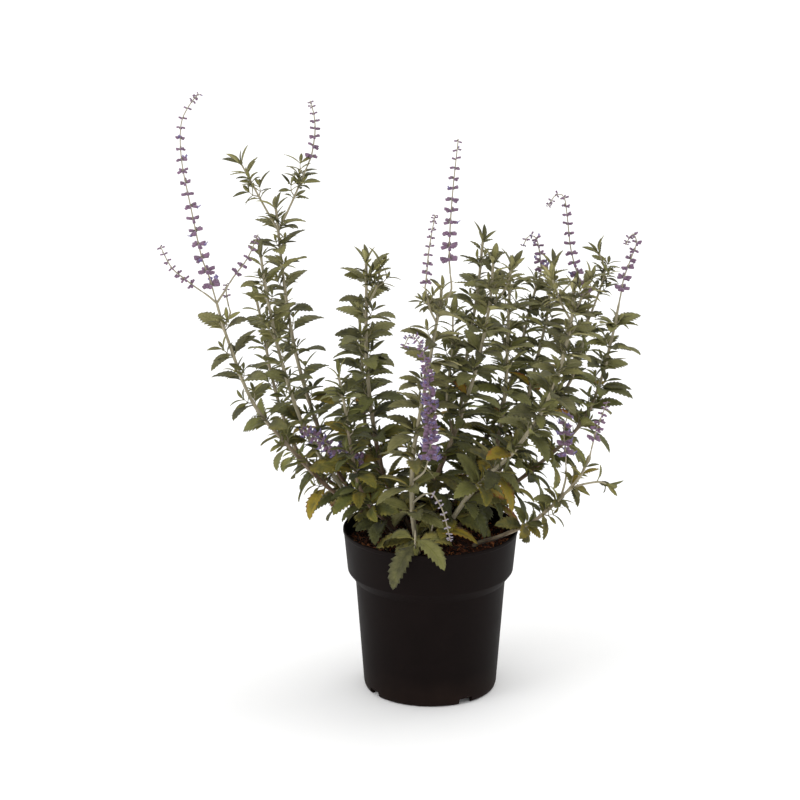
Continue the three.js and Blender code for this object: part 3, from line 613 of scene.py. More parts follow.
def dress_shoot(shoot):
    """Gives a shoot its tip leaves and axil leaves, and gives back the sprigs that grow on it."""
    total = shoot["route"]["length"]
    shoot["extras"], sprigs = [], []

    def add_narrow(distance, face, turn, habit):
        rise, length = chance.uniform(*habit["rise"]), chance.uniform(*habit["length"])
        shoot["extras"].append(narrow_leaf(shoot, distance, face, turn, rise, length))

    for face in range(4 if shoot.get("tuft") else 0):
        add_narrow(total - TIP_LEAF["back"], face, chance.uniform(*TIP_LEAF["turn"]), TIP_LEAF)
    lush = LUSHNESS.get(shoot["owner"], USUAL_LUSHNESS)
    for distance, leaves in shoot["pairs"]:
        part = distance / total
        if shoot.get("bend") or distance > total - AXILS_END:
            continue
        for face in leaves:
            for side in (-1, 1):
                if chance.random() < lush:
                    size = mix(*shoot["length"], part) * chance.uniform(*AXIL_LEAF["share"])
                    leaf = axil_leaf(shoot, distance + AXIL_LEAF["up"], face, side, size)
                    shoot["extras"].append(leaf)
            if part > SPRIG_FROM and chance.random() < SPRIG_SHARE:
                sprigs.append(grow_sprig(shoot, distance + SPRIG_UP, face, part))
                continue
            for turn in (-NARROW_PAIR["turn"], NARROW_PAIR["turn"]):
                add_narrow(distance + SPRIG_UP, face, turn, NARROW_PAIR)
    return sprigs


# Meshes: a skin is points, faces and the UV of each face corner
def signed_volume(points, faces):
    """Six times the volume inside, below zero where the faces point inwards."""
    return sum(np.dot(points[f[0]], np.cross(points[f[i]], points[f[i + 1]]))
               for f in faces for i in range(1, len(f) - 1))


def skin(rings, lengths=None):
    """Joins rings of equal count, and closes both ends. UVs run round the ring and along it."""
    count, points = len(rings[0]), np.concatenate(rings)
    lengths = range(len(rings)) if lengths is None else lengths
    faces, uvs = [], []
    for r in range(len(rings) - 1):
        low, high = r * count, (r + 1) * count
        for k in range(count):
            after = (k + 1) % count
            faces.append([low + k, low + after, high + after, high + k])
            foot, top = lengths[r], lengths[r + 1]
            uvs.append([(k, foot), (k + 1, foot), (k + 1, top), (k, top)])
    last = (len(rings) - 1) * count
    faces += [list(range(count))[::-1], [last + k for k in range(count)]]
    uvs += [[(0, lengths[0])] * count, [(0, lengths[-1])] * count]
    if signed_volume(points, faces) < 0:
        faces, uvs = [face[::-1] for face in faces], [uv[::-1] for uv in uvs]
    return points, faces, uvs


def new_mesh(name, skins, scale=MM, marks=None):
    """One mesh from several skins. Marks give a number or a vector for each point."""
    faces, start = [], 0
    for points, own, _ in skins:
        faces += [[start + corner for corner in face] for face in own]
        start += len(points)
    mesh = bpy.data.meshes.new(name)
    mesh.from_pydata(np.concatenate([points for points, _, _ in skins]) * scale, [], faces)
    if faces:
        layer = mesh.uv_layers.new(name="UVMap")
        flat = [n for _, _, uvs in skins for uv in uvs for pair in uv for n in pair]
        layer.data.foreach_set("uv", flat)
        mesh.shade_smooth()
    for mark, values in (marks or {}).items():
        values = np.array(values, dtype=float)
        kind, field = ("FLOAT_VECTOR", "vector") if values.ndim == 2 else ("FLOAT", "value")
        mesh.attributes.new(mark, kind, "POINT").data.foreach_set(field, values.ravel())
    return mesh


def new_object(name, mesh, *materials):
    """An object in the scene with its materials."""
    piece = bpy.data.objects.new(name, mesh)
    for material in materials:
        mesh.materials.append(material)
    bpy.context.scene.collection.objects.link(piece)
    return piece


# Node trees, for shapes and for materials
def fill(tree, made, links):
    """Fills inputs, found by name or number, with a value, an output or another node's output."""
    for key, value in links.items():
        socket = made.inputs[key] if isinstance(key, int) else next(
            socket for socket in made.inputs if socket.enabled and socket.name == key)
        if isinstance(value, bpy.types.Node):
            value = next(output for output in value.outputs if output.enabled)
        if isinstance(value, bpy.types.NodeSocket):
            tree.links.new(value, socket)
        else:
            socket.default_value = value
    return made


def node(tree, kind, links=None, **settings):
    """Adds a node with its settings and links."""
    made = tree.nodes.new(kind)
    for setting, value in settings.items():
        setattr(made, setting, value)
    return fill(tree, made, links or {})


def shape_tree(name, **inputs):
    """Starts a geometry tree with named inputs, and gives the tree and its inputs."""
    tree = bpy.data.node_groups.new(name, "GeometryNodeTree")
    tree.interface.new_socket("Geometry", in_out="OUTPUT", socket_type="NodeSocketGeometry")
    tree.interface.new_socket("Geometry", in_out="INPUT", socket_type="NodeSocketGeometry")
    for label, kind in inputs.items():
        tree.interface.new_socket(label, in_out="INPUT", socket_type=f"NodeSocket{kind}")
    return tree, node(tree, "NodeGroupInput").outputs


def grow(tree, mesh, helpers=(), **values):
    """Runs a tree on a mesh and gives the result as a plain mesh."""
    base = new_object(mesh.name + "_base", mesh)
    modifier = base.modifiers.new(tree.name, "NODES")
    modifier.node_group = tree
    for socket in tree.interface.items_tree:
        if socket.in_out == "INPUT" and socket.name in values:
            modifier[socket.identifier] = values[socket.name]
    graph = bpy.context.evaluated_depsgraph_get()
    made = bpy.data.meshes.new_from_object(base.evaluated_get(graph), preserve_all_data_layers=True,
                                           depsgraph=graph)
    base.modifiers.remove(modifier)
    for used in (base, *helpers):
        bpy.data.objects.remove(used)
    return made


# How a blade is bent along its midrib and folded along it: each line is a name and its sum
BLADE_SUMS = (
    ("across", "MULTIPLY", "X", "half_width"),
    ("angle", "MULTIPLY", "Y", "bend"),
    ("sine", "SINE", "angle"),
    ("cosine", "COSINE", "angle"),
    ("curve", "DIVIDE", "length", "bend"),
    ("spread", "ABSOLUTE", "across"),
    ("slope", "SINE", "fold"),
    ("rise", "MULTIPLY_ADD", "spread", "slope", "Z"),
    ("reach", "MULTIPLY", "curve", "sine"),
    ("out", "MULTIPLY_ADD", "rise", "sine", "reach"),
    ("shortfall", "SUBTRACT", 1.0, "cosine"),
    ("drop", "MULTIPLY", "curve", "shortfall"),
    ("lifted", "MULTIPLY", "rise", "cosine"),
    ("up", "SUBTRACT", "lifted", "drop"),
    ("flatness", "COSINE", "fold"),
    ("side", "MULTIPLY", "across", "flatness"),
)


def leafy_tree():
    """Puts a blade on each leaf point, bends it and folds it, and joins the leaves to the shoots."""
    tree, given = shape_tree("leafy_shoots", Shoots="Object", Blades="Collection", Leaf="Material")
    kinds = node(tree, "GeometryNodeCollectionInfo",
                 {"Collection": given["Blades"], "Separate Children": True, "Reset Children": True})
    kind = node(tree, "GeometryNodeInputNamedAttribute", {"Name": "kind"}, data_type="INT")
    points = node(tree, "GeometryNodeMeshToPoints", {"Mesh": given["Geometry"]})
    blades = node(tree, "GeometryNodeInstanceOnPoints", {
        "Points": points, "Instance": kinds, "Pick Instance": True, "Instance Index": kind})
    real = node(tree, "GeometryNodeRealizeInstances", {"Geometry": blades})
    place = node(tree, "GeometryNodeInputPosition")
    base = node(tree, "GeometryNodeInputNamedAttribute", {"Name": "base"}, data_type="FLOAT_VECTOR")
    local = node(tree, "ShaderNodeVectorMath", {0: place, 1: base}, operation="SUBTRACT")
    flat = node(tree, "ShaderNodeSeparateXYZ", {"Vector": local})
    sums = {axis: flat.outputs[axis] for axis in "XYZ"}
    for mark in ("length", "half_width", "bend", "fold"):
        sums[mark] = node(tree, "GeometryNodeInputNamedAttribute", {"Name": mark}, data_type="FLOAT")
    for name, operation, *terms in BLADE_SUMS:
        links = {i: sums.get(term, term) for i, term in enumerate(terms)}
        sums[name] = node(tree, "ShaderNodeMath", links, operation=operation)
    moved = base
    for way in ("out", "up", "side"):
        toward = node(tree, "GeometryNodeInputNamedAttribute", {"Name": way}, data_type="FLOAT_VECTOR")
        step = node(tree, "ShaderNodeVectorMath", {"Vector": toward, "Scale": sums[way]},
                    operation="SCALE")
        moved = node(tree, "ShaderNodeVectorMath", {0: moved, 1: step}, operation="ADD")
    bent = node(tree, "GeometryNodeSetPosition", {"Geometry": real, "Position": moved})
    leaves = node(tree, "GeometryNodeSetMaterial", {"Geometry": bent, "Material": given["Leaf"]})
    shoots = node(tree, "GeometryNodeObjectInfo", {"Object": given["Shoots"]})
    both = node(tree, "GeometryNodeJoinGeometry", {"Geometry": leaves})
    tree.links.new(shoots.outputs["Geometry"], both.inputs[0])
    node(tree, "NodeGroupOutput", {"Geometry": both})
    return tree


def whorl_tree():
    """Puts a woolly calyx on each point, aimed outwards, and a corolla where one has opened."""
    tree, given = shape_tree("whorled_flowers", Stalk="Object", Calyx="Object", Corolla="Object",
                             Wool="Material", Petal="Material")
    points = node(tree, "GeometryNodeMeshToPoints", {"Mesh": given["Geometry"]})
    marks = {name: node(tree, "GeometryNodeInputNamedAttribute", {"Name": name}, data_type=kind)
             for name, kind in (("aim", "FLOAT_VECTOR"), ("stalkwards", "FLOAT_VECTOR"),
                                ("size", "FLOAT"), ("open", "BOOLEAN"))}
    aimed = node(tree, "FunctionNodeAlignRotationToVector", {"Vector": marks["aim"]}, axis="Z")
    turned = node(tree, "FunctionNodeAlignRotationToVector",
                  {"Rotation": aimed, "Vector": marks["stalkwards"]}, axis="X", pivot_axis="Z")
    stalk = node(tree, "GeometryNodeObjectInfo", {"Object": given["Stalk"]})
    joined = node(tree, "GeometryNodeJoinGeometry", {"Geometry": stalk.outputs["Geometry"]})
    for part, look in (("Calyx", "Wool"), ("Corolla", "Petal")):
        shape = node(tree, "GeometryNodeObjectInfo", {"Object": given[part]})
        chosen = {"Selection": marks["open"]} if part == "Corolla" else {}
        placed = node(tree, "GeometryNodeInstanceOnPoints", {
            "Points": points, "Instance": shape.outputs["Geometry"], "Rotation": turned,
            "Scale": marks["size"], **chosen})
        real = node(tree, "GeometryNodeRealizeInstances", {"Geometry": placed})
        dressed = node(tree, "GeometryNodeSetMaterial", {"Geometry": real, "Material": given[look]})
        tree.links.new(dressed.outputs[0], joined.inputs[0])
    node(tree, "NodeGroupOutput", {"Geometry": joined})
    return tree


# Crumbs lie only on faces that look upwards this much
LEVEL_FACE = 0.5
FULL_TURNS = (6.28, 6.28, 6.28)


def crumb_tree():
    """Strews crumbs of bark and coir over the soil, each turned, sized and tinted by chance."""
    tree, given = shape_tree("strewn_crumbs", Crumbs="Collection", Density="Float", Smallest="Float",
                             Largest="Float", Bark="Material")
    facing = node(tree, "ShaderNodeSeparateXYZ", {"Vector": node(tree, "GeometryNodeInputNormal")})
    rising = node(tree, "GeometryNodeFieldOnDomain", {"Value": facing.outputs["Z"]}, domain="FACE",
                  data_type="FLOAT")
    level = node(tree, "ShaderNodeMath", {0: rising, 1: LEVEL_FACE}, operation="GREATER_THAN")
    strewn = node(tree, "GeometryNodeDistributePointsOnFaces", {
        "Mesh": given["Geometry"], "Selection": level, "Density": given["Density"], "Seed": 5})
    kinds = node(tree, "GeometryNodeCollectionInfo",
                 {"Collection": given["Crumbs"], "Separate Children": True, "Reset Children": True})
    turn = node(tree, "FunctionNodeRandomValue", {"Max": FULL_TURNS, "Seed": 6},
                data_type="FLOAT_VECTOR")
    size = node(tree, "FunctionNodeRandomValue",
                {"Min": given["Smallest"], "Max": given["Largest"], "Seed": 7}, data_type="FLOAT")
    kind = node(tree, "FunctionNodeRandomValue", {"Min": 0, "Max": len(CRUMBS) - 1, "Seed": 8},
                data_type="INT")
    tint = node(tree, "FunctionNodeRandomValue", {"Seed": 9}, data_type="FLOAT")
    placed = node(tree, "GeometryNodeInstanceOnPoints", {
        "Points": strewn, "Instance": kinds, "Pick Instance": True, "Instance Index": kind,
        "Rotation": turn, "Scale": size})
    tinted = node(tree, "GeometryNodeStoreNamedAttribute",
                  {"Geometry": placed, "Name": "tint", "Value": tint},
                  data_type="FLOAT", domain="INSTANCE")
    real = node(tree, "GeometryNodeRealizeInstances", {"Geometry": tinted})
    dressed = node(tree, "GeometryNodeSetMaterial", {"Geometry": real, "Material": given["Bark"]})
    node(tree, "NodeGroupOutput", {"Geometry": dressed})
    return tree


# Materials
def linear(colour):
    """An sRGB hex colour as the linear colour that the shaders take."""
    values = [int(colour[i : i + 2], 16) / 255 for i in (1, 3, 5)]
    return (*(v / 12.92 if v <= 0.04045 else ((v + 0.055) / 1.055) ** 2.4 for v in values), 1)


# What a material's steps can be: the node, the inputs that a step fills and the settings.
# Any other step is a sum, written as its operation. A bump takes its strength and its depth.
RANGE = ("Value", "From Min", "From Max", "To Min", "To Max")
STEPS = {
    "place": ("ShaderNodeTexCoord", (), {}),
    "uv": ("ShaderNodeUVMap", (), {"uv_map": "UVMap"}),
    "split": ("ShaderNodeSeparateXYZ", (0,), {}),
    "stretch": ("ShaderNodeMapping", ("Vector", "Scale"), {}),
    "noise": ("ShaderNodeTexNoise", ("Vector", "Scale", "Detail"), {}),
    "range": ("ShaderNodeMapRange", RANGE, {}),
    "soft range": ("ShaderNodeMapRange", RANGE, {"interpolation_type": "SMOOTHSTEP"}),
    "mix": ("ShaderNodeMix", ("Factor", "A", "B"), {"data_type": "RGBA"}),
    "brighten": ("ShaderNodeHueSaturation", ("Value", "Color"), {}),
    "bump": ("ShaderNodeBump", ("Height", "Strength", "Distance"), {}),
}


def per(size):
    """How often a pattern of this size in millimetres repeats in a metre."""
    return 1 / (size * MM)


def make_material(name, shader, *steps):
    """A material with one principled shader. Each step is its own name, its kind and its inputs:
    a hex colour, an earlier step, one output of it after a dot, a mark on the mesh or a number."""
    material = bpy.data.materials.new(name)
    material.use_nodes = True
    tree = material.node_tree
    made = {}

    def find(value):
        if not isinstance(value, str):
            return value
        if value.startswith("#"):
            return linear(value)
        step, _, output = value.partition(".")
        if step not in made:
            made[step] = node(tree, "ShaderNodeAttribute", attribute_name=step).outputs["Fac"]
        return made[step].outputs[output] if output else made[step]

    for step, kind, *inputs in steps:
        a_sum = ("ShaderNodeMath", (0, 1, 2), {"operation": kind})
        chosen, sockets, settings = STEPS.get(kind, a_sum)
        made[step] = node(tree, chosen, dict(zip(sockets, map(find, inputs))), **settings)
    surface = {socket: find(value) for socket, value in shader.items()}
    fill(tree, tree.nodes["Principled BSDF"], surface)
    return material


# A living leaf under fine grey down: soft, without gloss, green above and paler beneath, with
# the side veins sunk above and raised beneath, and yellow to rust where it has aged
leaf_finish = make_material(
    "downy_sage_leaf",
    {"Roughness": 0.72, "IOR": 1.42, "Sheen Weight": 0.05, "Sheen Roughness": 0.5,
     "Base Color": "rusted", "Normal": "relief"},
    ("where", "place"),
    ("flat", "uv"),
    ("blade", "split", "flat"),
    ("centred", "SUBTRACT", "blade.X", 0.5),
    ("away", "ABSOLUTE", "centred"),
    # Nine side veins leave the midrib on each side and run forwards to the teeth
    ("lag", "MULTIPLY", "away", -3.0),
    ("phase", "MULTIPLY_ADD", "blade.Y", 9.0, "lag"),
    ("wave", "PINGPONG", "phase", 0.5),
    ("vein", "soft range", "wave", 0.0, 0.12, 1.0, 0.0),
    ("rib", "soft range", "away", 0.02, 0.06, 1.0, 0.0),
    ("veins", "MAXIMUM", "vein", "rib"),
    ("share", "MULTIPLY", "veins", 0.5),
    # Tufts of down are drawn half a millimetre across, coarser than real ones, so as to show
    ("tufts", "noise", "where.Object", per(0.5263), 2.0),
    ("blotch", "noise", "where.Object", per(8.333), 3.0),
    ("green above", "mix", "down", "#4b5018", "#7d784b"),
    ("above", "mix", "share", "green above", "#5b5f22"),
    ("green beneath", "mix", "down", "#696d2c", "#9b9465"),
    ("beneath", "mix", "share", "green beneath", "#a39d70"),
    ("both", "mix", "upper", "beneath", "above"),
    ("mottle", "ADD", "blotch", "tint"),
    ("shade", "range", "mottle", 0.35, 1.65, 0.3, 1.55),
    ("lit", "brighten", "shade", "both"),
    # Ageing starts at the margin and the tip and turns the blade yellow, then rust
    ("reach", "MULTIPLY_ADD", "away", 0.7, "blotch"),
    ("turning", "MULTIPLY", "reach", "age"),
    ("yellow", "range", "turning", 0.12, 0.42),
    ("rust", "range", "turning", 0.5, 0.78),
    ("aged", "mix", "yellow", "lit", "#8c7a1e"),
    ("rusted", "mix", "rust", "aged", "#8a4c1a"),
    ("facing", "MULTIPLY_ADD", "upper", -2.0, 1.0),
    ("ribbed", "MULTIPLY", "veins", "facing"),
    ("nap", "MULTIPLY_ADD", "tufts", 0.35, "ribbed"),
    ("relief", "bump", "nap", 0.6, 0.4 * MM),
)

# A square stem in grey felt, ribbed lengthwise: purple-brown bark shows towards the foot
stem_finish = make_material(
    "felted_sage_stem",
    {"Roughness": 0.8, "IOR": 1.45, "Sheen Weight": 0.2, "Sheen Roughness": 0.5,
     "Base Color": "whole", "Normal": "relief"},
    ("where", "place"),
    ("flat", "uv"),
    # Fibres run some 6 mm along the stem, and about five lie side by side on each of its sides,
    # which three steps of the UV go round
    ("lengthwise", "stretch", "flat", (4.68 / 3, per(6.41), 1.0)),
    ("fibre", "noise", "lengthwise", 1.0, 4.0),
    ("patch", "noise", "where.Object", per(14.29), 3.0),
    ("nap", "noise", "where.Object", per(0.5882), 2.0),
    ("bare", "MULTIPLY_ADD", "patch", 0.8, "wood"),
    ("barky", "range", "bare", 0.75, 1.25),
    ("felt", "mix", "fibre", "#80775f", "#aea58b"),
    ("bark", "mix", "fibre", "#3f2d25", "#7a6048"),
    ("whole", "mix", "barky", "felt", "bark"),
    ("height", "MULTIPLY_ADD", "nap", 0.5, "fibre"),
    ("relief", "bump", "height", 0.7, 0.3 * MM),
)

# Calyxes under long violet wool: dusky and matt, greener at the foot, mauve at the mouth
wool_finish = make_material(
    "violet_calyx_wool",
    {"Roughness": 0.85, "IOR": 1.45, "Sheen Weight": 0.35, "Sheen Roughness": 0.4,
     "Base Color": "washed", "Normal": "relief"},
    ("where", "place"),
    ("flat", "uv"),
    ("up", "split", "flat"),
    # The wool stands in tufts, drawn 0.7 mm across so as to show
    ("wool", "noise", "where.Object", per(0.7143), 3.0),
    ("rising", "range", "up.Y", 0.0, 0.4),
    ("purple", "mix", "tint", "#452d40", "#704f69"),
    ("tufted", "mix", "wool", "purple", "#9a7d98"),
    ("footed", "mix", "rising", "#6f6a5c", "tufted"),
    ("washed", "mix", "pale", "footed", "#aaa3ae"),
    ("relief", "bump", "wool", 0.9, 0.5 * MM),
)

# Thin soft petals: blue-violet lips around a paler throat, with a faint silky sheen
petal_finish = make_material(
    "violet_petal",
    {"Roughness": 0.6, "IOR": 1.4, "Sheen Weight": 0.3, "Sheen Roughness": 0.3,
     "Base Color": "whole", "Normal": "relief"},
    ("where", "place"),
    ("flat", "uv"),
    ("up", "split", "flat"),
    # Streaks run through each lip, a good millimetre apart
    ("streak", "noise", "where.Object", per(1.111), 2.0),
    ("violet", "mix", "tint", "#4d3a70", "#7866a0"),
    ("lips", "mix", "streak", "violet", "#9486b6"),
    ("throat", "range", "up.Y", 0.85, 1.2),
    ("whole", "mix", "throat", "#b3a9cf", "lips"),
    ("relief", "bump", "streak", 0.3, 0.2 * MM),
)

# Blow-moulded recycled polypropylene: warm black, semi-matt, clouded by handling, with a little
# dried soil dust low down
pot_finish = make_material(
    "black_nursery_polypropylene",
    {"IOR": 1.49, "Specular IOR Level": 0.05, "Base Color": "dusted", "Roughness": "rough",
     "Normal": "relief"},
    ("where", "place"),
    ("up", "split", "where.Object"),
    # Clouds from handling are 26 mm across, the moulded grain half a millimetre, and dust from
    # the soil reaches 35 mm up
    ("cloud", "noise", "where.Object", per(26.32), 5.0),
    ("grain", "noise", "where.Object", per(0.5263), 2.0),
    ("low", "range", "up.Z", 0.0, 35 * MM, 0.5, 0.0),
    ("dusty", "MULTIPLY", "low", "cloud"),
    ("black", "mix", "cloud", "#0c0706", "#160f0e"),
    ("dusted", "mix", "dusty", "black", "#33261f"),
    ("rough", "range", "cloud", 0.0, 1.0, 0.48, 0.66),
    ("relief", "bump", "grain", 0.25, 0.1 * MM),
)


def bark_and_coir(name, dark, light, rim):
    """Composted bark and coir: dry and crumbly, red-brown, with orange flecks of fresh bark."""
    return make_material(
        name,
        {"Roughness": 0.95, "IOR": 1.4, "Base Color": "whole", "Normal": "relief"},
        ("where", "place"),
        # Crumbs are over 2 mm across, the fibres on them 0.4 mm
        ("crumb", "noise", "where.Object", per(2.381), 5.0),
        ("fibre", "noise", "where.Object", per(0.3846), 2.0),
        ("both", "ADD", "crumb", "tint"),
        ("share", "range", "both", 0.3, 1.3),
        ("brown", "mix", "share", dark, light),
        ("fleck", "range", "both", 1.28, 1.42),
        ("whole", "mix", "fleck", "brown", rim),
        ("height", "MULTIPLY_ADD", "fibre", 0.4, "crumb"),
        ("relief", "bump", "height", 1.0, 1.2 * MM),
    )


# Blades, which the leafy tree bends: X is a part of the half width, Y a part of the length. A
# column runs along the blade, at a part of the half width, on the upper side (1) or the lower.
SERRATED = ((1, 0), (0.5, 1), (0, 1), (-0.5, 1), (-1, 0), (-0.5, -1), (0, -1), (0.5, -1))
NARROW = ((1, 0), (0, 1), (-1, 0), (0, -1))
# How wide a toothed blade is at parts of its length, and how it narrows into its stalk
OUTLINE = ((0.15, 0.28, 0.45, 0.6, 0.8, 0.92, 1), (0.34, 0.86, 1.0, 0.97, 0.66, 0.34, 0.1))
LEAF_STALK = [(-0.03, 0.09, 0), (0.08, 0.07, 0), (0.15, 0.34, 0)]
LEAF_TIP = (1, 0.012, 0)
TEETH_FROM, TEETH_TO = 0.21, 0.95
TOOTH_SLOPE = 0.6
TOOTH_BACK = 0.016
NARROW_ROWS = [(-0.03, 0.3, 0), (0.12, 0.35, 0), (0.3, 0.85, 0), (0.5, 1, 0), (0.72, 0.8, 0),
               (0.9, 0.4, 0), (1, 0.03, 0)]
# A blade thins out towards its tip and its margins, and its teeth sag by this many millimetres
THICK_FOOT, TIP_THINNING, THIN_MARGIN = 1.1, 0.5, 0.45
TOOTH_SAG = {0: 0, 0.5: -0.3, 1: -0.5}


def tooth_rows(teeth, depth):
    """Rows as part of the length, part of the half width, and 1 at a tooth's tip, -1 behind it."""
    rows = [*LEAF_STALK]
    for tooth in range(teeth):
        tip = mix(TEETH_FROM, TEETH_TO, (tooth + TOOTH_SLOPE) / teeth)
        width = float(np.interp(tip, *OUTLINE))
        rows += [(tip, width, 1), (tip + TOOTH_BACK, width * (1 - depth), -1)]
    return [*rows, LEAF_TIP]


def blade_object(name, rows, columns, thickness):
    """A flat blade with its midrib along Y, its faces marked where they are its upper side."""
    rings = []
    for part, width, tooth in rows:
        ring = []
        for across, facing in columns:
            thick = facing * thickness * (THICK_FOOT - TIP_THINNING * part)
            thick *= 1 if across == 0 else THIN_MARGIN
            ring.append((across * width, part, (thick + TOOTH_SAG[abs(across)] * tooth) * MM))
        rings.append(np.array(ring))
    points, faces, _ = skin(rings)
    count = len(columns)
    uvs = [[((columns[c % count][0] + 1) / 2, rows[c // count][0]) for c in face] for face in faces]
    mesh = new_mesh(name, [(points, faces, uvs)], scale=1)
    above = set(range(count // 2 + 1))
    on_top = [float(len(face) == 4 and len({c % count for c in face} & above) == 2) for face in faces]
    mesh.attributes.new("upper", "FLOAT", "FACE").data.foreach_set("value", on_top)
    return new_object(name, mesh)


def tapered_object(name, rings_at, sides, droop, lip):
    """A small turned shape about Z, nodding away from X, with its upper lip drawn out. Each ring
    is its height, its radius on the ribs and its radius between them."""
    rings = []
    for height, radius, valley in rings_at:
        ring = []
        for k in range(sides):
            angle = 2 * math.pi * k / sides
            reach = valley if k % 2 else radius
            drawn = lip * math.cos(angle) * max(0, height - LIP_FROM)
            nod = droop * height**2
            ring.append((reach * math.cos(angle) - nod, reach * math.sin(angle), height + drawn))
        rings.append(np.array(ring))
    heights = [height for height, _, _ in rings_at]
    return new_object(name, new_mesh(name, [skin(rings, heights)], scale=1))


def gather(name, templates):
    """A collection of templates, which a tree picks from in the order of their names."""
    group = bpy.data.collections.new(name)
    for template in templates:
        group.objects.link(template)
    return group


# A calyx is one unit long, and a corolla rises out of its mouth
CALYX = ((0, 0.05, 0.05), (0.1, 0.16, 0.16), (0.4, 0.25, 0.25), (0.75, 0.28, 0.25), (0.98, 0.25, 0.2),
         (0.9, 0.12, 0.12))
COROLLA = ((0.6, 0.09, 0.09), (0.95, 0.11, 0.11), (1.15, 0.18, 0.15), (1.3, 0.4, 0.2),
           (1.26, 0.37, 0.18), (1.1, 0.13, 0.11), (0.85, 0.06, 0.06))
LIP_FROM = 0.6
# Blades by kind: rows, columns and thickness in millimetres
BLADES = {
    "blade_0_large": (tooth_rows(7, 0.3), SERRATED, 0.55),
    "blade_1_medium": (tooth_rows(6, 0.26), SERRATED, 0.5),
    "blade_2_small": (tooth_rows(4, 0.2), SERRATED, 0.42),
    "blade_3_narrow": (NARROW_ROWS, NARROW, 0.4),
}
templates = [blade_object(name, *shape) for name, shape in BLADES.items()]
blades = gather("blades", templates)
calyx = tapered_object("calyx", CALYX, 6, 0.2, 0.3)
corolla = tapered_object("corolla", COROLLA, 10, 0.1, 0.5)
leafy, whorled = leafy_tree(), whorl_tree()

# Stems: rounded squares that swell a little at each pair of leaves
CORNERS = [math.radians(15 + 30 * k) for k in range(12)]
ROUNDED_SQUARE = [(math.copysign(abs(math.cos(a)) ** 0.5, math.cos(a)),
                   math.copysign(abs(math.sin(a)) ** 0.5, math.sin(a))) for a in CORNERS]
STATION = 6
SWELLING, SWELLING_REACH, SWELLING_STATION = 0.2, 2.4, 2.6
# The last few millimetres narrow down to this part of the width
END_WIDTH, END_TAPER = 0.45, 3


def shoot_skin(shoot):
    """A stem or shoot, with rings at even stations and closer ones at its nodes."""
    total = shoot["route"]["length"]
    nodes = [distance for distance, _ in shoot["pairs"]]
    around = [n + step for n in nodes for step in (-SWELLING_STATION, 0, SWELLING_STATION)]
    even = np.arange(STATION, total - 3, STATION)
    stations = sorted({0, total, *even, *(d for d in around if 1 < d < total - 1)})
    rings = []
    for distance in stations:
        origin, along, side, front = frame_at(shoot["route"], distance)
        swelling = sum(math.exp(-(((distance - n) / SWELLING_REACH) ** 2)) for n in nodes)
        taper = min(1, END_WIDTH + (total - distance) / END_TAPER)
        half = half_width_at(shoot, distance) * (1 + SWELLING * swelling) * taper
        rings.append(np.array([origin + (side * x + front * y) * half for x, y in ROUNDED_SQUARE]))
    return skin(rings, [distance * MM for distance in stations])


# Leaves turn from green to downy grey between these heights, and the ones that age are lower
DOWNY_HEIGHTS = (200, 480)
AGEING_HEIGHTS = (220, 380)
DOWN = (0.1, 0.75)
DOWN_SWING = (-0.15, 0.15)
AGED_SHARE = 0.13
AGED, UNAGED, UNAGED_LOW = (0.45, 0.95), 0.1, 0.3
# Blades are drawn wider than the model's leaves while short, and slimmer once long
WIDENING, SLIMMING = 1.2, 0.86
SLIM_LENGTHS = (42, 56)
# How much greyer than usual a stem's leaves are
GREYNESS = {"stem_front": 0.5, "stem_right_low": 0.3, "stem_left_arch": 0.2, "stem_right_front": 0.15,
            "stem_left_back": -0.1, "stem_back": -0.1, "stem_back_right": -0.1, "stem_far_right": -0.1}


def leaf_marks(name, shoots):
    """Each leaf's place and shape, and how aged, tinted and downy it is."""
    marks = {mark: [] for mark in ("base", "out", "up", "side", "length", "half_width", "bend", "fold",
                                   "kind", "tint", "age", "down")}
    for shoot in shoots:
        main = [leaf for _, leaves in shoot["pairs"] for leaf in leaves.values() if leaf]
        for leaf in main + shoot["extras"]:
            length, height = leaf["length"], leaf["base"][2]
            kind = leaf.get("kind", 0 if length > LARGE_BLADE else 1 if length > MEDIUM_BLADE else 2)
            low = 1 - smoothstep(height, *AGEING_HEIGHTS)
            aged = chance.random() < AGED_SHARE * low and kind != NARROW_KIND
            tint = chance.random()
            age = chance.uniform(*AGED) if aged else chance.uniform(0, UNAGED + UNAGED_LOW * low)
            down = mix(*DOWN, smoothstep(height, *DOWNY_HEIGHTS)) + chance.uniform(*DOWN_SWING)
            width = leaf["half_width"] * mix(WIDENING, SLIMMING, smoothstep(length, *SLIM_LENGTHS))
            values = {**leaf, "base": leaf["base"] * MM, "length": length * MM, "half_width": width * MM,
                      "kind": kind, "tint": tint, "age": age,
                      "down": min(1, max(0, GREYNESS.get(name, 0) + down))}
            for mark in marks:
                marks[mark].append(values[mark])
    return marks


# Bark shows up to this height and gives way to felt over this stretch below it
BARK_TOP, BARK_STRETCH = 420, 220
# How much less bark a stem's foot shows, for those that are paler than usual
PALENESS = {"stem_front": 0.75, "stem_right_front": 0.7, "stem_left_pale": 0.6, "stem_right_low": 0.4}


def wood_marks(name, points):
    """How woody a stem is at each point."""
    bark = np.clip((BARK_TOP - points[:, 2]) / BARK_STRETCH, 0, 1) - PALENESS.get(name, 0)
    return np.clip(bark, 0, 1)


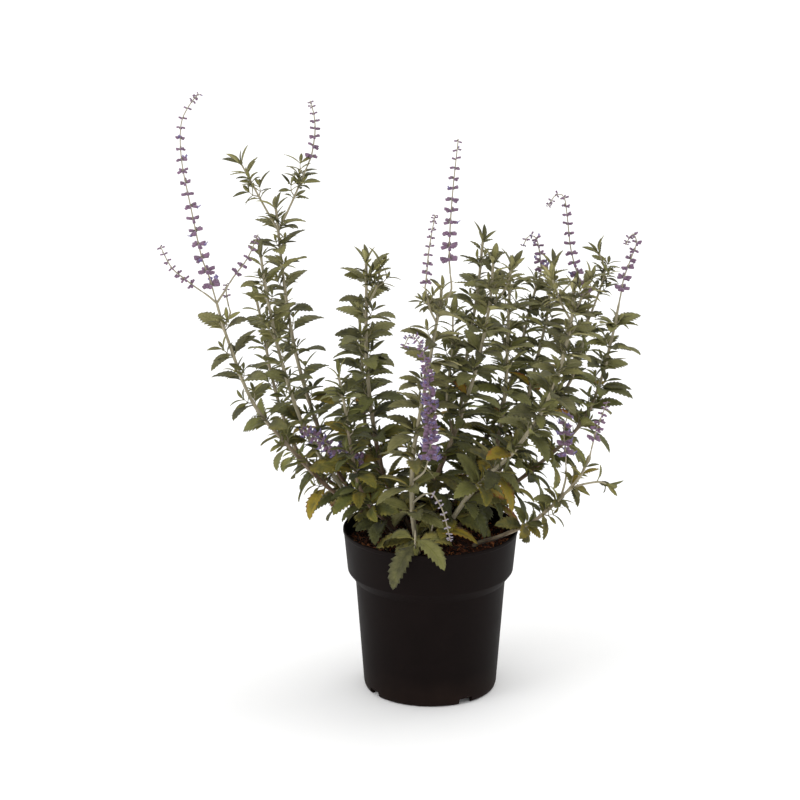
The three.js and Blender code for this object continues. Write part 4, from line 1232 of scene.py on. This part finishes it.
def stem_piece(name, shoots):
    """A stem with its shoots and sprigs, all in leaf."""
    sprigs = [sprig for shoot in shoots for sprig in dress_shoot(shoot)]
    every = [*shoots, *sprigs]
    skins = [shoot_skin(shoot) for shoot in every]
    wood = {"wood": wood_marks(name, np.concatenate([points for points, _, _ in skins]))}
    bare = new_object(name + "_shoots", new_mesh(name + "_shoots", skins, marks=wood), stem_finish)
    marks = leaf_marks(name, every)
    points = new_mesh(name + "_leaves", [(np.array(marks["base"]) / MM, [], [])], marks=marks)
    return grow(leafy, points, [bare], Shoots=bare, Blades=blades, Leaf=leaf_finish)


# Spikes: a thin stalk, whorls of two opposite fans of calyxes, and a few buds at the tip
STALK_WIDTH = (0.85, 0.5)
STALK_SIDES = 6
STALK_STATION = 5
STALK_ROOT = 2
BUD_GAP, BUD_REACH, BUD_STRETCH = 2.8, (2.6, 1.2), 20
# A whorl's calyxes by its radius, and on a crowded spike
WHORL_COUNTS = ((6.5, 8), (4, 6), (0, 4))
CROWDED_RADIUS, CROWDED_COUNT, CROWDED_SPREAD = 6, 14, 3.4
# A fan's width as a part of a half turn, and how far chance takes its calyxes from their places
FAN = 0.62
FAN_SWING, CALYX_RISE, CALYX_SHIFT, CALYX_SIZE = (-0.08, 0.08), (-8, 30), (-1.1, 1.1), (0.88, 1.08)
CALYX_FOOT = 0.7
USUAL_FULLNESS = 1.1


def stalk_skin(route):
    """A spike's stalk, which starts inside the shoot that carries it."""
    stations = [*np.arange(0, route["length"] - 2, STALK_STATION), route["length"]]
    angles = [k * math.pi / 3 for k in range(STALK_SIDES)]
    rings = []
    for distance in stations:
        origin, _, side, front = frame_at(route, distance)
        radius = mix(*STALK_WIDTH, distance / route["length"])
        ring = [origin + (side * math.cos(a) + front * math.sin(a)) * radius for a in angles]
        rings.append(np.array(ring))
    rings[0] = rings[0] - frame_at(route, 0)[1] * STALK_ROOT
    return skin(rings, [distance * MM for distance in stations])


def calyx_marks(spike):
    """Each calyx's place and aim, and how big, open, tinted and pale it is."""
    marks = {mark: [] for mark in ("base", "aim", "stalkwards", "size", "open", "tint", "pale")}
    last = spike["whorls"][-1][0] + 4
    buds = [(distance, mix(*BUD_REACH, (distance - last) / BUD_STRETCH))
            for distance in np.arange(last, spike["route"]["length"], BUD_GAP)]
    crowded = "fullness" in spike
    spread = CROWDED_SPREAD if crowded else 1
    for number, (distance, reach) in enumerate([*spike["whorls"], *buds]):
        origin, along, side, front = frame_at(spike["route"], distance)
        count = next(calyxes for radius, calyxes in WHORL_COUNTS if reach > radius)
        if crowded and reach > CROWDED_RADIUS:
            count = CROWDED_COUNT
        for k in range(count):
            fan = (k // 2 + 0.5) / (count / 2) - 0.5 + chance.uniform(*FAN_SWING)
            angle = math.pi * (0.25 + 0.5 * (number % 2) + k % 2 + FAN * fan)
            radial = side * math.cos(angle) + front * math.sin(angle)
            rise = math.radians(chance.uniform(*CALYX_RISE))
            shift = along * chance.uniform(*CALYX_SHIFT) * spread
            marks["base"].append((origin + radial * CALYX_FOOT + shift) * MM)
            marks["aim"].append(radial * math.cos(rise) + along * math.sin(rise))
            marks["stalkwards"].append(along)
            size = reach * spike.get("fullness", USUAL_FULLNESS) * chance.uniform(*CALYX_SIZE)
            marks["size"].append(size * MM)
            marks["open"].append(float(chance.random() < spike.get("open", 0)))
            marks["tint"].append(chance.random())
            marks["pale"].append(spike.get("pale", 0))
    return marks


def spike_piece(name, spike):
    """A spike's stalk with its calyxes, and corollas in those that have opened."""
    skins = [stalk_skin(spike["route"])]
    wood = {"wood": np.zeros(len(skins[0][0]))}
    stalk = new_object(name + "_stalk", new_mesh(name + "_stalk", skins, marks=wood), stem_finish)
    marks = calyx_marks(spike)
    points = new_mesh(name + "_calyxes", [(np.array(marks["base"]) / MM, [], [])], marks=marks)
    return grow(whorled, points, [stalk], Stalk=stalk, Calyx=calyx, Corolla=corolla, Wool=wool_finish,
                Petal=petal_finish)


# Marks that only the trees need, taken off a finished piece
WORKING_MARKS = ("base", "out", "up", "side", "length", "half_width", "bend", "fold", "kind", "aim",
                 "stalkwards", "size", "open")


def add_piece(name, mesh, slot, *nodes):
    """Adds a finished piece, which rides on the pot and stands for its nodes in the model."""
    for mark in WORKING_MARKS:
        if mark in mesh.attributes:
            mesh.attributes.remove(mesh.attributes[mark])
    mesh.name = name
    piece = new_object(name, mesh)
    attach(piece, "root")
    if nodes:
        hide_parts(*nodes)


for name, shoots in plants.items():
    add_piece("leafy_" + name, stem_piece(name, shoots), "foliage", name)
for name, spike in spikes.items():
    add_piece("flowering_" + name, spike_piece(name, spike), "flower", name)

# Soil: a plug that follows the pot's inside, under strewn crumbs
INSIDE = ((COLLAR_RADIUS - WALL, COLLAR_FOOT + 0.8), (BODY_RADIUS - WALL, BODY_TOP - 0.5),
          (71.1, FLOOR_UNDERSIDE + WALL), (PAD_RADIUS + 1.5, FLOOR_UNDERSIDE + WALL),
          (PAD_RADIUS - 1.1, FLOOR_THICKNESS))


# The plug keeps a little above each step inside the pot, and its top is rough
STEP_GAP = 0.35
CRUMBLE = (-0.7, 0.7)
TOP_RADII = (SOIL_RADIUS, 88, 84, 79, 73, *range(66, 9, -7), 4)
# Crumbs lie on a bed that keeps clear of the pot's wall
BED_RADIUS = 86.5
BED_FOOT = 160
CRUMB_DENSITY = 60000.0
CRUMB_SIZE = (2.2, 6.2)


def soil_height(x, y):
    """The height of the soil, which ripples a little."""
    ripple = math.sin(x * 0.23 + 0.6) + math.sin(y * 0.29 - x * 0.11) + math.sin((x + y) * 0.17 + 2)
    return SOIL_LEVEL + SOIL_RIPPLE * ripple


def circle(radius, height=None, segments=96):
    """A ring about the middle, level at a height or lying on the rough soil."""
    ring = []
    for k in range(segments):
        x, y = (radius * turn(2 * math.pi * k / segments) for turn in (math.cos, math.sin))
        ring.append((x, y, soil_height(x, y) + chance.uniform(*CRUMBLE) if height is None else height))
    return np.array(ring)


walls = [circle(radius - SOIL_GAP, height + STEP_GAP) for radius, height in INSIDE[::-1]]
tops = [circle(radius) for radius in TOP_RADII]
soil_mesh = new_mesh("potting_mix", [skin([*walls, *tops])])
soil_mesh.materials.append(bark_and_coir("damp_coir_mix", "#1d0f0b", "#3a2118", "#4a2a1c"))
# Chunks, chips, splinters and fibres as rings of a tapered shape lying along Z
CRUMBS = {
    "crumb_0_chunk": ((-0.4, 0.2, 0.2), (-0.2, 0.4, 0.3), (0.2, 0.42, 0.3), (0.45, 0.2, 0.15)),
    "crumb_1_chip": ((-0.5, 0.12, 0.3), (-0.3, 0.16, 0.45), (0.3, 0.12, 0.4), (0.55, 0.06, 0.2)),
    "crumb_2_splinter": ((-0.9, 0.05, 0.08), (-0.4, 0.12, 0.16), (0.4, 0.12, 0.1), (1.0, 0.04, 0.04)),
    "crumb_3_fibre": ((-1.2, 0.03, 0.03), (-0.3, 0.05, 0.06), (0.5, 0.06, 0.04), (1.3, 0.02, 0.02)),
}
crumb_shapes = [tapered_object(name, rings_at, 6, 0.15, 0) for name, rings_at in CRUMBS.items()]
crumbs = gather("crumbs", crumb_shapes)
bark_finish = bark_and_coir("composted_bark_crumb", "#2a140d", "#6b3d26", "#a5673c")
bed_mesh = new_mesh("crumb_bed", [skin([circle(BED_RADIUS, BED_FOOT), circle(BED_RADIUS), *tops[2:]])])
strewn = grow(crumb_tree(), bed_mesh, Crumbs=crumbs, Density=CRUMB_DENSITY,
              Smallest=CRUMB_SIZE[0] * MM, Largest=CRUMB_SIZE[1] * MM, Bark=bark_finish)
add_piece("potting_mix", soil_mesh, "soil", "soil")
add_piece("bark_crumbs", strewn, "soil")
for used in (*templates, calyx, corolla, *crumb_shapes):
    bpy.data.objects.remove(used)

# The pot: its section turned about the middle with softened corners, then notched and drained
OUTSIDE = ((PAD_RADIUS, 0), (PAD_RADIUS + 2.5, FLOOR_UNDERSIDE), (67.6, FLOOR_UNDERSIDE), (67, 0),
           (69.2, 0), (71.4, 1.6), (BASE_RADIUS, 6), (BODY_RADIUS, BODY_TOP - 2),
           (COLLAR_RADIUS, COLLAR_FOOT), (94.1, 177.5), (RIM_RADIUS, 178.4),
           (RIM_RADIUS, POT_HEIGHT - 0.6))
LIP = ((RIM_RADIUS - 0.6, POT_HEIGHT), (RIM_RADIUS - WALL, POT_HEIGHT))
CORNER_RADIUS = 0.9
POT_SEGMENTS = 144
DRAIN_SEGMENTS = 24
DRAIN_HEIGHTS = (5.2, 13.2)
SHARP_EDGE = 40


def softened(profile, radius):
    """Cuts each corner of a section into three points."""
    corners = [np.array(corner, dtype=float) for corner in profile]
    eased = [corners[0]]
    for before, corner, after in zip(corners, corners[1:], corners[2:]):
        back, ahead = before - corner, after - corner
        cut = min(radius, 0.35 * np.linalg.norm(back), 0.35 * np.linalg.norm(ahead))
        start, end = corner + unit(back) * cut, corner + unit(ahead) * cut
        eased += [start, (start + end + 2 * corner) / 4, end]
    return [*eased, corners[-1]]


def turned(turn):
    """The ways outwards and across at a turn about the middle, which starts at the front."""
    angle = math.radians(turn - 90)
    out, across = (math.cos(angle), math.sin(angle), 0), (-math.sin(angle), math.cos(angle), 0)
    return np.array(out), np.array(across)


def foot_notch(turn):
    """A box through the foot, as wide, deep and high as NOTCH says."""
    out, across = turned(turn)
    wide, deep, high = NOTCH
    rings = [np.array([out * (NOTCH_RING + x * deep / 2) + across * y * wide / 2 + (0, 0, z)
                       for x, y in ((1, 1), (-1, 1), (-1, -1), (1, -1))])
             for z in (-high / 2, high / 2)]
    return skin(rings)


def drain_hole(turn):
    """A round hole through the floor."""
    out, _ = turned(turn)
    rings = [circle(DRAIN_RADIUS, height, DRAIN_SEGMENTS) + out * DRAIN_RING for height in DRAIN_HEIGHTS]
    return skin(rings)


section = softened((*OUTSIDE, *LIP, *INSIDE), CORNER_RADIUS)
pot_mesh = new_mesh("nursery_pot", [skin([circle(r, z, POT_SEGMENTS) for r, z in section])])
cutters = [foot_notch(turn) for turn in NOTCH_TURNS] + [drain_hole(turn) for turn in DRAIN_TURNS]
cutter = new_object("notches", new_mesh("notches", cutters))
pot_base = new_object("pot_base", pot_mesh, pot_finish)
cutting = pot_base.modifiers.new("notches", "BOOLEAN")
cutting.operation, cutting.solver, cutting.object = "DIFFERENCE", "EXACT", cutter
graph = bpy.context.evaluated_depsgraph_get()
pot_cut = bpy.data.meshes.new_from_object(pot_base.evaluated_get(graph), depsgraph=graph)
pot_cut.set_sharp_from_angle(angle=math.radians(SHARP_EDGE))
for used in (pot_base, cutter):
    bpy.data.objects.remove(used)
add_piece("nursery_pot", pot_cut, "pot", "pot")

# Stage: a plain pale floor, soft light all round, and the camera at the photograph's angle.
# Its places are metres.
FLOOR_HALF = 20
floor_mesh = bpy.data.meshes.new("pale_floor")
floor_corners = [(x * FLOOR_HALF, y * FLOOR_HALF, 0) for x, y in ((-1, -1), (1, -1), (1, 1), (-1, 1))]
floor_mesh.from_pydata(floor_corners, [], [(0, 1, 2, 3)])
floor_finish = make_material("matt_white_paper", {"Base Color": "#ffffff", "Roughness": 0.95})
new_object("pale_floor", floor_mesh, floor_finish)

world = bpy.data.worlds.new("soft_white")
world.use_nodes = True
sky = world.node_tree.nodes["Background"]
fill(world.node_tree, sky, {"Color": linear("#ffffff"), "Strength": 1.0})
bpy.context.scene.world = world


def add_light(name, kind, place, aim, power, **shape):
    """Adds a light that looks from its place at its aim."""
    lamp = bpy.data.lights.new(name, kind)
    lamp.energy = power
    for setting, value in shape.items():
        setattr(lamp, setting, value)
    holder = bpy.data.objects.new(name, lamp)
    holder.location = place
    toward = np.array(aim) - np.array(place)
    flat = math.hypot(toward[0], toward[1])
    holder.rotation_euler = (math.atan2(flat, -toward[2]), 0, math.atan2(-toward[0], toward[1]))
    bpy.context.scene.collection.objects.link(holder)


add_light("high_back_light", "SUN", place=(0.9, 0.7, 2.2), aim=(0, 0, 0.25), power=0.6,
          angle=math.radians(40))
add_light("left_light", "AREA", place=(-2.4, -1.5, 1.7), aim=(0, 0, 0.3), power=24, size=1.6)

CAMERA_PITCH = 17.1
CAMERA_DISTANCE = 3.5
CAMERA_AIM = (-0.0331, 0, 0.3258)
FOCAL_LENGTH = 146.8
SENSOR_WIDTH = 36
lens = bpy.data.cameras.new("camera")
lens.lens, lens.sensor_width = FOCAL_LENGTH, SENSOR_WIDTH
camera = bpy.data.objects.new("camera", lens)
pitch = math.radians(CAMERA_PITCH)
camera.location = (CAMERA_AIM[0], -CAMERA_DISTANCE * math.cos(pitch),
                   CAMERA_AIM[2] + CAMERA_DISTANCE * math.sin(pitch))
camera.rotation_euler = (math.pi / 2 - pitch, 0, 0)
bpy.context.scene.collection.objects.link(camera)
bpy.context.scene.camera = camera
bpy.context.scene.view_settings.view_transform = "Standard"
